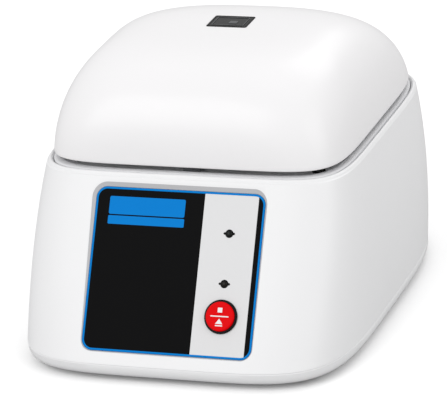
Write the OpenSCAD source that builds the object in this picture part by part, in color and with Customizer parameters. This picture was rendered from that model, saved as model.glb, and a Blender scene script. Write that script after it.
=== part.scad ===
// Bench centrifuge for two microplates that stand on their long edges.
// The origin is under the middle of the whole machine, at the bottom of its feet. +Y points to the rear.

/* [Housing] */
// Width of the housing at the seam over the base pan
body_w = 250; // [230:1:280]
// Depth of the housing at the seam over the base pan
body_d = 312; // [300:1:340]
// Width of the housing at its rim
top_w = 231.4; // [222:0.2:240]
// Height of the seam between the base pan and the housing
seam_z = 14; // [12:0.5:18]
// Height of the housing's rim above the bench
rim_z = 131; // [126:0.5:140]
// Depth of the housing at its rim; the front face leans back to meet it
top_d = 235.7; // [232:0.1:242]
// How far the rear wall draws in from the seam to the rim
rear_draw = 6; // [4:0.5:8]
// Wall thickness of the moulded housing
wall = 3; // [2.5:0.1:3.5]
// Thickness of the front wall, measured along the depth
front_wall = 6; // [5.5:0.1:7]
// Thickness of the rear wall, measured along the depth
rear_wall = 6.5; // [6:0.1:7.5]
// Depth of the deck below the rim
deck_drop = 5; // [4:0.5:6]
// Width of the rim's rounded lip
lip_w = 3.4; // [3:0.1:4]

/* [Base] */
// Height of the rubber feet
foot_h = 4; // [3:0.5:6]
// Radius of a rubber foot
foot_r = 10; // [8:0.5:12]
// Distance of the feet from the housing's sides
foot_inset_x = 36; // [32:1:42]
// Distance of the feet from the housing's front and rear
foot_inset_y = 32; // [30:1:40]
// Thickness of the base pan's floor
pan_floor = 2.6; // [2:0.1:3.4]

/* [Lid] */
// Height of the top of the lid above the bench
lid_top = 203; // [198:1:215]
// Gap between the rim and the lower edge of the lid
lid_gap = 4.5; // [4:0.1:5.5]
// How far the lid's edge stands inside the housing's rim
lid_inset = 3; // [2:0.5:4]
// Wall thickness of the lid
lid_wall = 3; // [2.5:0.1:3.5]
// Thickness of the lid's inner liner
liner_t = 2.5; // [2:0.1:3]
// Height of the dish in the liner above its plate
dish_h = 20; // [18:1:26]
// Angle to which the lid opens, in degrees
lid_open = 78; // [60:1:80]

/* [Window] */
// Width of the window's bezel
window_w = 30.8; // [28:0.2:36]
// Length of the window's bezel
window_l = 23; // [20:0.5:28]
// Width of the bezel's rim
window_rim = 2.2; // [1.8:0.1:3]

/* [Chamber] */
// Distance of the rotor's axis behind the middle of the rim
rotor_back = 4.35; // [3:0.05:6]
// Inner radius of the chamber bowl
bowl_r = 91.5; // [90:0.5:92]
// Wall thickness of the chamber bowl
bowl_t = 1.5; // [1.2:0.1:1.8]
// Height of the underside of the bowl's floor
bowl_z = 48; // [47:0.5:49]
// Width of the bowl's flange on the deck
flange_w = 3.5; // [3:0.1:4]

/* [Motor] */
// Width of the square motor plate
plate_w = 136; // [130:1:140]
// Thickness of the motor plate
plate_t = 3; // [2:0.5:3.5]
// Distance of the rubber isolators from the rotor's axis, along each side
isolator_x = 58; // [54:1:59]
// Radius of an isolator
isolator_r = 8; // [6:0.5:8.5]
// Radius of the motor
motor_r = 31.5; // [28:0.5:36]
// Distance of the driver board from the housing's left side
driver_inset = 13; // [12:0.5:14]
// Width of the driver board
driver_w = 34; // [28:1:35]
// Length of the driver board
driver_l = 100; // [80:1:110]
// Height of the heat sink
sink_h = 22; // [14:1:24]

/* [Rotor] */
// Length of a microplate's pocket
pocket_l = 129; // [128.4:0.1:130]
// Width of a microplate's pocket
pocket_w = 16; // [15:0.1:17]
// Distance of each pocket's middle from the axis
pocket_x = 42; // [40:0.5:43]
// Wall thickness of a plate carrier
carrier_t = 2.4; // [2:0.1:2.6]
// Height of a plate carrier
carrier_h = 66; // [55:1:72]
// Radius of the drive shaft
shaft_r = 4; // [3:0.1:5]
// Thickness of the rotor's yoke
yoke_t = 4; // [3:0.5:4.5]
// Radius of the rotor's hub
hub_r = 13; // [11:0.5:15]
// Gap between the bowl's floor and the yoke
yoke_gap = 3; // [2.5:0.5:3.5]

/* [Control panel] */
// Width of the label panel over its border
panel_w = 126.6; // [120:0.2:130]
// Height of the label panel along the slope
panel_h = 116.7; // [110:0.1:118]
// Height of the label panel's lower edge above the bench
panel_z = 22.5; // [21:0.5:24]
// Corner radius of the label panel
panel_r = 8; // [5:0.5:10]
// Depth of the panel's recess, square to the front face
recess_d = 3; // [2.4:0.1:3.2]
// Thickness of the label panel
panel_t = 1.8; // [1.2:0.1:2]
// Width of the coloured border round the panel
border_w = 1.5; // [1.2:0.1:2.5]
// Left edge of the pale strip, from the panel's middle
strip_x = 18.2; // [14:0.2:22]
// Width of the pale strip
strip_w = 40; // [34:0.5:41]
// Sideways distance of the lamps and the button from the panel's middle
button_x = 38.8; // [36:0.2:41]
// Distance of the button up the slope from the panel's lower edge
button_y = 29.2; // [24:0.2:34]
// Radius of the button's cap
button_r = 10.4; // [9:0.1:11.5]
// Width of the ring round the button
button_ring = 1.7; // [1.4:0.1:2.4]
// Travel of the button
button_travel = 2.5; // [1.5:0.1:3]
// Radius of a status lamp
lamp_r = 2.1; // [1.6:0.1:3]
// Distance of the power lamp up the slope
power_lamp_y = 87.9; // [80:0.5:92]
// Distance of the rotor lamp up the slope
rotor_lamp_y = 52.4; // [48:0.5:60]

// Width of the control board behind the panel
board_w = 112; // [104:1:116]
// Height of the control board along the slope
board_h = 74; // [66:1:76]
// Distance of the board's lower edge up the slope
board_y = 8; // [6:1:10]

/* [Hinge] */
// Distance of the hinge's axis behind the housing's rim
hinge_back = 9; // [8.5:0.1:10]
// Height of the hinge's axis over the housing's rim
hinge_up = 6; // [5.8:0.1:6.6]
// Sideways distance of each hinge from the middle
hinge_x = 62; // [50:1:66]
// Width of the lid's hinge arm
arm_w = 18; // [14:0.5:20]
// Radius of a hinge knuckle
knuckle_r = 4.5; // [4:0.1:4.6]
// Radius of a hinge pin
hinge_pin_r = 2; // [1.5:0.1:2.4]

/* [Latch] */
// Distance of the striker in front of the chamber's hole
striker_back = 9.5; // [9:0.1:10.5]
// Width of the striker's blade
striker_w = 12; // [10:0.5:13]
// Thickness of the striker's blade
striker_t = 3; // [2:0.1:3.4]
// Reach of the striker below the liner
striker_l = 25; // [23:0.5:27]
// Radius of the latch pin
latch_pin_r = 2.5; // [2:0.1:3]
// Sideways distance of the latch pin from the striker
latch_arm_x = 20; // [18:0.5:22]
// Length of the hook's lower arm
latch_drop = 16; // [14:0.5:18]

// Reach of the latch frame to the left of the striker
frame_left = 42; // [40:1:46]
// Reach of the latch frame to the right of the striker
frame_right = 34; // [32:1:38]
// Distance of the latch frame in front of the striker
frame_front = 12; // [11:0.5:13]
// Radius of a lid bumper
bumper_r = 5; // [4:0.5:6]
// Distance of the bumpers inside the rim
bumper_in = 26; // [25:1:28]

/* [Rear sockets] */
// Width of the recess for the rear sockets
rear_w = 106; // [100:1:112]
// Height of the recess for the rear sockets
rear_h = 36; // [33:1:40]
// Sideways distance of the power inlet from the middle
inlet_x = 24; // [20:1:28]
// Sideways distance of the power switch from the middle
rocker_x = -28; // [-34:1:-24]

/* [Fits] */
// Radial clearance of a running fit
run_fit = 0.05; // [0.02:0.01:0.09]
// Gap between separate moving pieces
gap = 0.4; // [0.3:0.05:0.6]

/* [Hidden] */
$fn = 64;
// Points round one ring of a moulded shell
ring_n = 64;
// Roundness of the housing's plan: front and rear, at the seam and at the rim
seam_nf = 4.9;
seam_nr = 3.8;
rim_nf = 6.8;
rim_nr = 5.1;
eps = 0.01;
// The hinge stands out behind the housing, so the housing sits a little forward of the origin
rim_rear_y = body_d / 2 - rear_draw;
rim_front_y = rim_rear_y - top_d;
lean = atan((rim_front_y + body_d / 2) / (rim_z - seam_z));
rotor_y = rim_rear_y - top_d / 2 + rotor_back;
hinge_y = rim_rear_y + hinge_back;
overall_d = body_d / 2 + hinge_y + knuckle_r;
body_y = body_d / 2 - overall_d / 2;
hinge_z = rim_z + hinge_up;
deck_z = rim_z - deck_drop;
deck_under = deck_z - wall;
lid_z0 = rim_z + lid_gap;
liner_z = lid_z0 + 1.7;
ledge_z = liner_z + liner_t;
pan_z = foot_h;
pan_top = pan_z + pan_floor;
hole_r = bowl_r + bowl_t + gap;
yoke_z = bowl_z + bowl_t + yoke_gap;
carrier_z = yoke_z + yoke_t;
dish_r = bowl_r + 0.5;
apex_y = rotor_y + 12;
window_y = rotor_y;
plate_z = bowl_z - 4 - plate_t;
striker_y = rotor_y - hole_r - striker_back;
latch_z = deck_z - 22;
latch_plate_y = striker_y - frame_front;
latch_nose_z = latch_z + 13;
solenoid_z = latch_z - latch_drop;
rear_z = seam_z + 6;
rear_floor_y = body_d / 2 - 4;

module seat() {
    translate([0, body_y, 0]) children();
}

// Front face of the housing at height z
function front_y(z) = -body_d / 2 + tan(lean) * (z - seam_z);
function share(z) = (z - seam_z) / (rim_z + 3 - seam_z);
function half_w(z) = body_w / 2 - (body_w - top_w) / 2 * pow(max(share(z), 0), 2.5);
function back_y(z) = body_d / 2 - rear_draw * pow(max(share(z), 0), 2);
function nf_at(z) = seam_nf + (rim_nf - seam_nf) * share(z);
function nr_at(z) = seam_nr + (rim_nr - seam_nr) * share(z);
function bend(v, n) = sign(v) * pow(abs(v), 2 / n);

// One ring: half width a, from yf in front to yr behind, with its own roundness in front and behind
function ring(a, yf, yr, nf, nr, z) = [for (i = [0:ring_n - 1]) let (t = 360 * i / ring_n,
    n = sin(t) < 0 ? nf : nr) [a * bend(cos(t), n), (yf + yr) / 2 + (yr - yf) / 2 * bend(sin(t), n), z]];
function body_ring(z, side, front, rear) =
    ring(half_w(z) - side, front_y(z) + front, back_y(z) - rear, nf_at(z), nr_at(z), z);
function rim_ring(inset, z) = ring(half_w(rim_z) - inset, front_y(rim_z) + inset, back_y(rim_z) - inset,
    nf_at(rim_z), nr_at(rim_z), z);
function round_ring(r, z) = ring(r, rotor_y - r, rotor_y + r, 2, 2, z);

// Closed band of rings whose last ring joins the first
module ring_band(rings) {
    m = len(rings);
    polyhedron(points = [for (r = rings) each r], faces = [for (j = [0:m - 1], i = [0:ring_n - 1])
        let (a = j * ring_n + i, b = j * ring_n + (i + 1) % ring_n,
            c = ((j + 1) % m) * ring_n + (i + 1) % ring_n, d = ((j + 1) % m) * ring_n + i)
        each [[a, c, b], [a, d, c]]], convexity = 8);
}

// Rings that close on a point at each end
module ring_cap(rings, first, last) {
    m = len(rings);
    p = m * ring_n;
    polyhedron(points = concat([for (r = rings) each r], [first, last]), faces = concat(
        [for (j = [0:m - 2], i = [0:ring_n - 1]) let (a = j * ring_n + i, b = j * ring_n + (i + 1) % ring_n,
            c = (j + 1) * ring_n + (i + 1) % ring_n, d = (j + 1) * ring_n + i) each [[a, c, b], [a, d, c]]],
        [for (i = [0:ring_n - 1]) [p, i, (i + 1) % ring_n]],
        [for (i = [0:ring_n - 1]) [p + 1, (m - 1) * ring_n + (i + 1) % ring_n, (m - 1) * ring_n + i]]),
        convexity = 8);
}

module rounded(w, h, r) {
    square([w - 2 * r, h], center = true);
    square([w, h - 2 * r], center = true);
    for (x = [-1, 1], y = [-1, 1]) translate([x * (w / 2 - r), y * (h / 2 - r)]) circle(r);
}

module block(x0, x1, y0, y1, z0, z1) {
    translate([x0, y0, z0]) cube([x1 - x0, y1 - y0, z1 - z0]);
}

// The panel's own frame: x to the right, y up the slope, z out of the front face
module on_panel() {
    translate([0, front_y(panel_z), panel_z]) rotate([90 - lean, 0, 0]) children();
}

module at_hinges() {
    for (s = [-1, 1]) translate([s * hinge_x, 0, 0]) children();
}

module along_x(r, len_x) {
    rotate([0, 90, 0]) cylinder(r = r, h = len_x, center = true);
}

module feet_places() {
    for (x = [-1, 1], y = [-1, 1])
        translate([x * (body_w / 2 - foot_inset_x), y * (body_d / 2 - foot_inset_y), 0]) children();
}

module isolator_places() {
    for (x = [-1, 1], y = [-1, 1]) translate([x * isolator_x, rotor_y + y * isolator_x, 0]) children();
}

function pan_ring(inset, z) =
    ring(body_w / 2 - inset, -body_d / 2 + inset, body_d / 2 - inset, seam_nf, seam_nr, z);

module base_pan() {
    vent_n = 9;
    color("whitesmoke") seat() {
        difference() {
            union() {
                ring_band([for (p = [[7, pan_z], [3.4, pan_z + 0.7], [1.2, pan_z + 2.6], [0.2, pan_z + 5.5],
                    [0, seam_z - 1], [0.9, seam_z], [wall + 1, seam_z], [wall + 2, pan_top + 3],
                    [wall + 5, pan_top], [wall + 6, pan_z]]) pan_ring(p[0], p[1])]);
                translate([0, 0, pan_z])
                    linear_extrude(pan_floor) polygon([for (p = pan_ring(wall + 4.6, 0)) [p[0], p[1]]]);
            }
            for (i = [0:vent_n - 1]) translate([(i - (vent_n - 1) / 2) * 9, rotor_y, pan_z])
                cube([4, 44, 4 * pan_floor], center = true);
        }
        isolator_places() translate([0, 0, pan_top - eps]) difference() {
            cylinder(r = isolator_r + 2.5, h = 3);
            translate([0, 0, 1]) cylinder(r = isolator_r + gap / 2, h = 4);
        }
    }
}

module rubber_feet() {
    color("black") seat() feet_places() rotate_extrude() polygon([[0, 0], [foot_r - 1.6, 0], [foot_r - 0.8, 0.8],
        [foot_r, foot_h], [0, foot_h]]);
}

module housing() {
    heights = [for (k = [0, 0.2, 0.4, 0.58, 0.74, 0.87, 1]) seam_z + (rim_z - 2.6 - seam_z) * k];
    inner = [for (k = [1, 0.8, 0.6, 0.4, 0.2, 0]) seam_z + (deck_under - seam_z) * k];
    color("whitesmoke") seat() difference() {
        ring_band(concat(
            [for (z = heights) body_ring(z, 0, 0, 0)],
            [for (p = [[0.35, -1.1], [1.2, -0.25], [1.9, 0], [lip_w - 0.6, -0.5], [lip_w, -1.6]])
                rim_ring(p[0], rim_z + p[1])],
            [rim_ring(lip_w + 0.4, deck_z), round_ring(hole_r, deck_z), round_ring(hole_r, deck_under)],
            [for (z = inner) body_ring(z, wall, front_wall, rear_wall)]));
        on_panel() {
            translate([0, panel_h / 2, -recess_d]) linear_extrude(recess_d + 8)
                rounded(panel_w + 0.6, panel_h + 0.6, panel_r + 0.3);
            translate([0, panel_h / 2, -1.3]) linear_extrude(10)
                rounded(panel_w + 4, panel_h + 4, panel_r + 2);
            translate([button_x, button_y, 0]) cylinder(r = button_r + 0.3, h = 40, center = true);
            for (y = [power_lamp_y, rotor_lamp_y]) translate([button_x, y, 0])
                cylinder(r = lamp_r + 0.1, h = 40, center = true);
        }
        block(-9, 9, striker_y - striker_t / 2 - 2.4, striker_y + striker_t / 2 + 1.4, deck_under - 1, deck_z + 1);
        translate([0, body_d / 2 + 6, rear_z + rear_h / 2]) rotate([90, 0, 0])
            linear_extrude(6 + body_d / 2 - rear_floor_y) rounded(rear_w, rear_h, 4);
        translate([inlet_x, body_d / 2, rear_z + rear_h / 2]) cube([28.4, 40, 20.4], center = true);
        translate([rocker_x, body_d / 2, rear_z + rear_h / 2]) cube([20.4, 40, 26.4], center = true);
        at_hinges() block(-arm_w / 2 - 5, arm_w / 2 + 5, hinge_y - 11.5, hinge_y + 9, rim_z - 25, rim_z + 5);
    }
}

module rim_gasket() {
    h = hinge_up + 0.2 - knuckle_r - 0.8;
    color("black") seat() difference() {
        ring_band([rim_ring(5, deck_z), rim_ring(5, rim_z + h - 0.6), rim_ring(5.6, rim_z + h),
            rim_ring(7.4, rim_z + h), rim_ring(8, rim_z + h - 0.6), rim_ring(8, deck_z)]);
        at_hinges() block(-arm_w / 2 - 6, arm_w / 2 + 6, hinge_y - 20, hinge_y, rim_z - 1, rim_z + 9);
    }
}

module chamber_bowl() {
    color("silver") seat() translate([0, rotor_y, 0]) difference() {
        rotate_extrude($fn = 96) polygon([[10, bowl_z], [bowl_r - 8, bowl_z], [bowl_r - 2, bowl_z + 2],
            [bowl_r + bowl_t, bowl_z + 9], [bowl_r + bowl_t, deck_z], [bowl_r + bowl_t + flange_w, deck_z],
            [bowl_r + bowl_t + flange_w, deck_z + 1], [bowl_r, deck_z + 1], [bowl_r, bowl_z + 9.5],
            [bowl_r - 3, bowl_z + 2 + bowl_t], [bowl_r - 8.6, bowl_z + bowl_t], [10, bowl_z + bowl_t]]);
        translate([bowl_r - 22, 0, bowl_z]) cylinder(r = 3, h = 10, center = true);
    }
}

module chamber_gasket() {
    color("dimgray") seat() translate([0, rotor_y, deck_z + 1]) rotate_extrude($fn = 96)
        polygon([[bowl_r + 0.4, 0], [bowl_r + bowl_t + flange_w, 0], [bowl_r + bowl_t + flange_w, 3],
            [bowl_r + 3.4, liner_z - deck_z - 1 - gap], [bowl_r + 1.6, liner_z - deck_z - 1 - gap],
            [bowl_r + 0.4, 3]]);
}

module motor_plate() {
    color("gray") seat() translate([0, rotor_y, plate_z]) linear_extrude(plate_t) difference() {
        rounded(plate_w, plate_w, 12);
        circle(12 + eps);
        for (a = [45:90:359]) rotate(a) translate([24, 0]) circle(2.2);
        for (a = [0:90:359]) rotate(a) translate([plate_w / 2 - 16, 0]) rounded(12, 50, 5);
    }
}

module motor_isolators() {
    top = plate_z - pan_top - 1 + eps;
    r = isolator_r;
    color("black") seat() isolator_places() translate([0, 0, pan_top + 1 - eps]) rotate_extrude() polygon([[0, 0],
        [r, 0], [r, 5], [r - 2, 9], [r, 13], [r - 2, 17], [r, 21], [r, top], [0, top]]);
}

module motor_body() {
    color("darkgray") seat() translate([0, rotor_y, 0]) difference() {
        union() {
            translate([0, 0, pan_top + 5]) cylinder(r = motor_r + 1.5, h = 5);
            translate([0, 0, pan_top + 10 - eps]) cylinder(r = motor_r, h = plate_z - pan_top - 15 + 2 * eps);
            translate([0, 0, plate_z - 5]) cylinder(r = motor_r + 1.5, h = 5);
            translate([0, 0, plate_z - eps]) cylinder(r = 12, h = plate_t + 3);
        }
        translate([0, 0, plate_z - 12]) cylinder(r = shaft_r + run_fit, h = 30);
    }
}

module shaft_boot() {
    color("black") seat() translate([0, rotor_y, 0]) rotate_extrude() polygon([[shaft_r + 1, plate_z + plate_t + 3],
        [9.6, plate_z + plate_t + 3], [9.6, bowl_z + bowl_t], [14, bowl_z + bowl_t], [13, bowl_z + bowl_t + 1.2],
        [shaft_r + 1, bowl_z + bowl_t + 1.6]]);
}

module drive_shaft() {
    color("silver") seat() translate([0, rotor_y, plate_z - 11]) cylinder(r = shaft_r, h = carrier_z + 20 - plate_z);
}

module rotor_hub() {
    color("silver") seat() translate([0, rotor_y, yoke_z]) difference() {
        union() {
            translate([0, 0, -1.2]) cylinder(r = hub_r, h = yoke_t + 14);
            translate([0, 0, yoke_t]) cylinder(r = hub_r + 5, h = 3);
        }
        translate([0, 0, -5]) cylinder(r = shaft_r, h = 60);
        for (a = [45:90:359]) rotate(a) translate([hub_r + 2.4, 0, yoke_t - 1]) cylinder(r = 1.3, h = 6);
    }
}

module rotor_yoke() {
    half = pocket_x + pocket_w / 2 + carrier_t;
    color("silver") seat() translate([0, rotor_y, yoke_z]) linear_extrude(yoke_t) difference() {
        union() {
            rounded(2 * half, 44, 8);
            circle(34);
            for (s = [-1, 1]) translate([s * pocket_x, 0]) rounded(pocket_w + 2 * carrier_t, 96, 5);
        }
        circle(hub_r);
        for (a = [90, 270]) rotate(a) translate([25, 0]) circle(5);
    }
}

// A tall open box that holds one microplate on its long edge
module plate_carrier(s) {
    w = pocket_w + 2 * carrier_t;
    l = pocket_l + 2 * carrier_t;
    color("steelblue") seat() translate([s * pocket_x, rotor_y, carrier_z]) difference() {
        linear_extrude(carrier_h) rounded(w, l, 2);
        translate([0, 0, 2]) linear_extrude(carrier_h) square([pocket_w, pocket_l], center = true);
        for (i = [-1.5:1.5]) translate([0, i * 30, carrier_h / 2 + 1]) rotate([0, 90, 0])
            linear_extrude(w + 2, center = true) rounded(carrier_h - 22, 20, 5);
        translate([-s * w / 2, 0, carrier_h]) cube([2 * carrier_t + 0.2, pocket_l - 40, 24], center = true);
        for (i = [-1, 1]) translate([0, i * l / 2, carrier_h - 8]) rotate([90, 0, 0])
            cylinder(r = 5, h = 4 * carrier_t, center = true);
    }
}

module plate_carrier_left() {
    plate_carrier(-1);
}

module plate_carrier_right() {
    plate_carrier(1);
}

module rotor_nut() {
    h = 12;
    color("black") seat() translate([0, rotor_y, yoke_z + yoke_t + 12.8]) difference() {
        cylinder(r = 12, h = h);
        for (i = [0:7]) rotate(i * 45) translate([13.6, 0, -1]) cylinder(r = 3.2, h = h + 2);
        translate([0, 0, -1]) cylinder(r = shaft_r, h = 8);
    }
}

module panel_border() {
    color("dodgerblue") seat() on_panel() translate([0, panel_h / 2, -recess_d]) linear_extrude(panel_t + 0.2)
        difference() {
            rounded(panel_w, panel_h, panel_r);
            rounded(panel_w - 2 * border_w, panel_h - 2 * border_w, panel_r - border_w);
        }
}

module strip_outline() {
    translate([strip_x, border_w]) square([strip_w, panel_h - 2 * border_w]);
}

module panel_field() {
    translate([0, panel_h / 2]) rounded(panel_w - 2 * border_w, panel_h - 2 * border_w, panel_r - border_w);
}

module label_panel() {
    color("black") seat() on_panel() translate([0, 0, -recess_d]) linear_extrude(panel_t) difference() {
        panel_field();
        strip_outline();
    }
}

module status_strip() {
    color("gainsboro") seat() on_panel() translate([0, 0, -recess_d]) linear_extrude(panel_t) difference() {
        intersection() {
            strip_outline();
            panel_field();
        }
        translate([button_x, button_y]) circle(button_r + 0.3);
        for (y = [power_lamp_y, rotor_lamp_y]) translate([button_x, y]) circle(lamp_r);
    }
}

module lamp(y) {
    seat() on_panel() translate([button_x, y, 0]) rotate_extrude($fn = 32) polygon([[0, -front_wall - 5],
        [lamp_r + 0.8, -front_wall - 5], [lamp_r + 0.8, -front_wall], [lamp_r, -front_wall],
        [lamp_r, panel_t - recess_d + 0.3], [lamp_r * 0.6, panel_t - recess_d + 0.8], [0, panel_t - recess_d + 1]]);
}

module power_lamp() {
    color("seagreen") lamp(power_lamp_y);
}

module rotor_lamp() {
    color("orange") lamp(rotor_lamp_y);
}

module button_ring_trim() {
    color("black") seat() on_panel() translate([button_x, button_y, panel_t - recess_d]) rotate_extrude()
        polygon([[button_r + 0.3, 0], [button_r + button_ring, 0], [button_r + button_ring, 1.1],
            [button_r + button_ring - 0.5, 1.6], [button_r + 0.3, 1.6]]);
}

module stop_button() {
    face = panel_t - recess_d + 3.6;
    color("red") seat() on_panel() translate([button_x, button_y, 0]) rotate_extrude() polygon([
        [0, -front_wall - 2.4], [3, -front_wall - 2.4], [3, face - 6], [button_r - 1, face - 4],
        [button_r - 1, face - 3], [button_r, face - 3], [button_r, face - 0.7], [button_r - 0.7, face - 0.1],
        [button_r - 2.2, face], [0, face - 0.5]]);
}

module button_switch() {
    color("dimgray") seat() on_panel() translate([button_x, button_y, -front_wall - 2.4 - button_travel - 0.3]) {
        translate([0, 0, -3.5]) cube([12, 12, 7], center = true);
        cylinder(r = 3.2, h = 0.2);
    }
}

module board_holes() {
    for (x = [-1, 1], y = [board_y + 5, board_y + board_h - 5]) translate([x * (board_w / 2 - 5), y]) children();
}

module control_board() {
    top = -front_wall - 2.4 - button_travel - 7.3;
    color("darkgreen") seat() on_panel() difference() {
        translate([-board_w / 2, board_y, top - 1.6]) cube([board_w, board_h, 1.6]);
        board_holes() translate([0, 0, top]) cylinder(r = 1.6, h = 8, center = true);
    }
    color("dimgray") seat() on_panel() for (p = [[-40, 24, 22, 14], [-20, 58, 16, 20], [2, 30, 12, 12]])
        translate([p[0], p[1], top - 1.6 - 5]) cube([p[2], p[3], 5]);
}

module board_standoffs() {
    top = -front_wall - 2.4 - button_travel - 7.3;
    color("gold") seat() on_panel() board_holes()
        translate([0, 0, top]) cylinder(r = 3, h = -top - front_wall * cos(lean) + 0.8);
}

driver_x = -body_w / 2 + driver_inset;

module driver_posts() {
    for (x = [5, driver_w - 5], y = [-1, 1])
        translate([driver_x + x, rotor_y + y * (driver_l / 2 - 6), pan_top]) children();
}

module driver_board() {
    color("darkgreen") seat() difference() {
        union() {
            block(driver_x, driver_x + driver_w, rotor_y - driver_l / 2, rotor_y + driver_l / 2, pan_top + 4,
                pan_top + 5.6);
            driver_posts() cylinder(r = 3, h = 4 + eps);
        }
        driver_posts() translate([0, 0, 3]) cylinder(r = 1.4, h = 9);
    }
}

module heat_sink() {
    x0 = driver_x + 8;
    w = driver_w - 13;
    y0 = rotor_y - driver_l / 2 + 14;
    y1 = rotor_y + driver_l / 2 - 28;
    z0 = pan_top + 5.6;
    fins = 6;
    step = (w - 1.5) / (fins - 1);
    color("silver") seat() {
        block(x0, x0 + w, y0, y1, z0, z0 + 3);
        for (i = [0:fins - 1]) block(x0 + i * step, x0 + i * step + 1.5, y0, y1, z0 + 3 - eps, z0 + sink_h);
    }
}

module rear_frame(x) {
    translate([x, rear_floor_y, rear_z + rear_h / 2]) rotate([90, 0, 180]) children();
}

module power_inlet() {
    color("black") seat() rear_frame(inlet_x) difference() {
        union() {
            linear_extrude(2) difference() {
                rounded(48, 28, 5);
                for (s = [-1, 1]) translate([s * 20, 0]) circle(1.8);
            }
            translate([0, 0, -13]) cube([28, 20, 26], center = true);
        }
        translate([0, 0, -15]) linear_extrude(20) polygon([[-11.5, -7.5], [11.5, -7.5], [11.5, 3.5], [7.5, 7.5],
            [-7.5, 7.5], [-11.5, 3.5]]);
    }
}

module inlet_blades() {
    color("silver") seat() rear_frame(inlet_x) for (p = [[-7, -2], [0, 2], [7, -2]])
        translate([p[0], p[1], -7]) cube([2, 4, 16], center = true);
}

module rocker_frame() {
    color("black") seat() rear_frame(rocker_x) difference() {
        union() {
            linear_extrude(1.8) rounded(24, 30, 2);
            translate([0, 0, -10]) cube([20, 26, 20], center = true);
        }
        translate([0, 0, -3]) cube([16.4, 22.4, 12], center = true);
        translate([0, 0, -2]) along_x(1.5, 18);
    }
}

module power_rocker() {
    color("dimgray") seat() rear_frame(rocker_x) translate([0, 0, -2]) {
        rotate([90, 0, 90]) linear_extrude(15.6, center = true)
            polygon([[-10.3, 4.6], [-0.6, 3.2], [10.3, 5.8], [10.3, 3], [4, -3.8], [-4, -3.8], [-10.3, 1.8]]);
        along_x(1.5 - run_fit, 17.8);
    }
}

function lid_ring(k, inset, z0, top) = let (c = cos(90 * k), s = sin(90 * k), a = half_w(rim_z) - inset,
    yf = front_y(rim_z) + inset, yr = back_y(rim_z) - inset)
    ring(a * pow(c, 1 / 3), apex_y + (yf - apex_y) * pow(c, 0.36), apex_y + (yr - apex_y) * pow(c, 0.94),
        nf_at(rim_z) + (2 - nf_at(rim_z)) * k, nr_at(rim_z) + (2 - nr_at(rim_z)) * k,
        z0 + (top - z0) * pow(s, 1.11));

module lid_shell() {
    steps = [0, 0.08, 0.2, 0.33, 0.46, 0.58, 0.69, 0.79, 0.87, 0.93, 0.97];
    low = lid_inset + lid_wall;
    color("white") seat() difference() {
        ring_cap(concat(
            [for (i = [9:-2:1]) lid_ring(steps[i], low, ledge_z + 0.5, lid_top - lid_wall)],
            [rim_ring(low + 2.2, ledge_z + 2.2), rim_ring(low + 2.2, ledge_z), rim_ring(low, ledge_z),
                rim_ring(low, lid_z0 + 0.3), rim_ring(lid_inset + 1.2, lid_z0), rim_ring(lid_inset + 0.2, lid_z0 + 0.5)],
            [for (k = steps) lid_ring(k, lid_inset, lid_z0 + 1.4, lid_top)]),
            [0, apex_y, lid_top - lid_wall], [0, apex_y, lid_top]);
        translate([0, window_y, lid_top - 10]) linear_extrude(20)
            rounded(window_w - 2 * window_rim, window_l - 2 * window_rim, 1);
        translate([0, window_y, lid_top - 1.4]) linear_extrude(20) rounded(window_w + 0.2, window_l + 0.2, 1.6);
    }
}

module lid_liner() {
    edge = [for (p = rim_ring(lid_inset + lid_wall + 0.3, 0)) [p[0], p[1]]];
    color("whitesmoke") seat() difference() {
        translate([0, 0, liner_z]) linear_extrude(liner_t) polygon(edge);
        translate([0, rotor_y, liner_z - 1]) cylinder(r = dish_r - 2, h = liner_t + 2);
    }
}

module lid_dish() {
    z0 = liner_z + liner_t;
    z1 = liner_z + dish_h;
    color("whitesmoke") seat() difference() {
        translate([0, rotor_y, 0]) rotate_extrude($fn = 96) polygon([[0, z1 - 2], [dish_r - 5, z1 - 2],
            [dish_r - 2, z1 - 5], [dish_r - 2, z0], [dish_r + 3, z0], [dish_r + 3, z0 + 1.6], [dish_r, z0 + 1.6],
            [dish_r, z1 - 4], [dish_r - 4, z1], [0, z1]]);
        translate([0, window_y, 0]) linear_extrude(300) square([window_w - 6, window_l - 6], center = true);
    }
}

module window_bezel() {
    color("black") seat() translate([0, window_y, lid_top - 1.4]) difference() {
        linear_extrude(1.8) rounded(window_w, window_l, 1.5);
        translate([0, 0, -1]) linear_extrude(5) square([window_w - 2 * window_rim, window_l - 2 * window_rim],
            center = true);
        translate([0, 0, 0.7]) linear_extrude(5) square([window_w - 2 * window_rim + 1.6,
            window_l - 2 * window_rim + 1.6], center = true);
    }
}

module lid_window() {
    color([0.2, 0.2, 0.2, 0.6]) seat() translate([0, window_y, lid_top - 0.7])
        linear_extrude(0.9) square([window_w - 2 * window_rim + 1.4, window_l - 2 * window_rim + 1.4], center = true);
}

module port_tube() {
    z0 = liner_z + dish_h;
    color("black") seat() translate([0, window_y, z0]) difference() {
        linear_extrude(lid_top - lid_wall - z0 - 0.2) rounded(window_w, window_l, 2);
        translate([0, 0, -1]) linear_extrude(80) square([window_w - 6, window_l - 6], center = true);
    }
}

module lid_striker() {
    color("silver") seat() difference() {
        union() {
            block(-striker_w / 2, striker_w / 2, striker_y - striker_t / 2, striker_y + striker_t / 2,
                liner_z - striker_l, liner_z);
            block(-9, 9, striker_y - 5, striker_y + 5, liner_z - 2.4, liner_z);
        }
        block(striker_w / 2 - 3.6, striker_w, striker_y - 4, striker_y + 4, latch_nose_z - 3.4, latch_nose_z + 3.4);
    }
}

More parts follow.
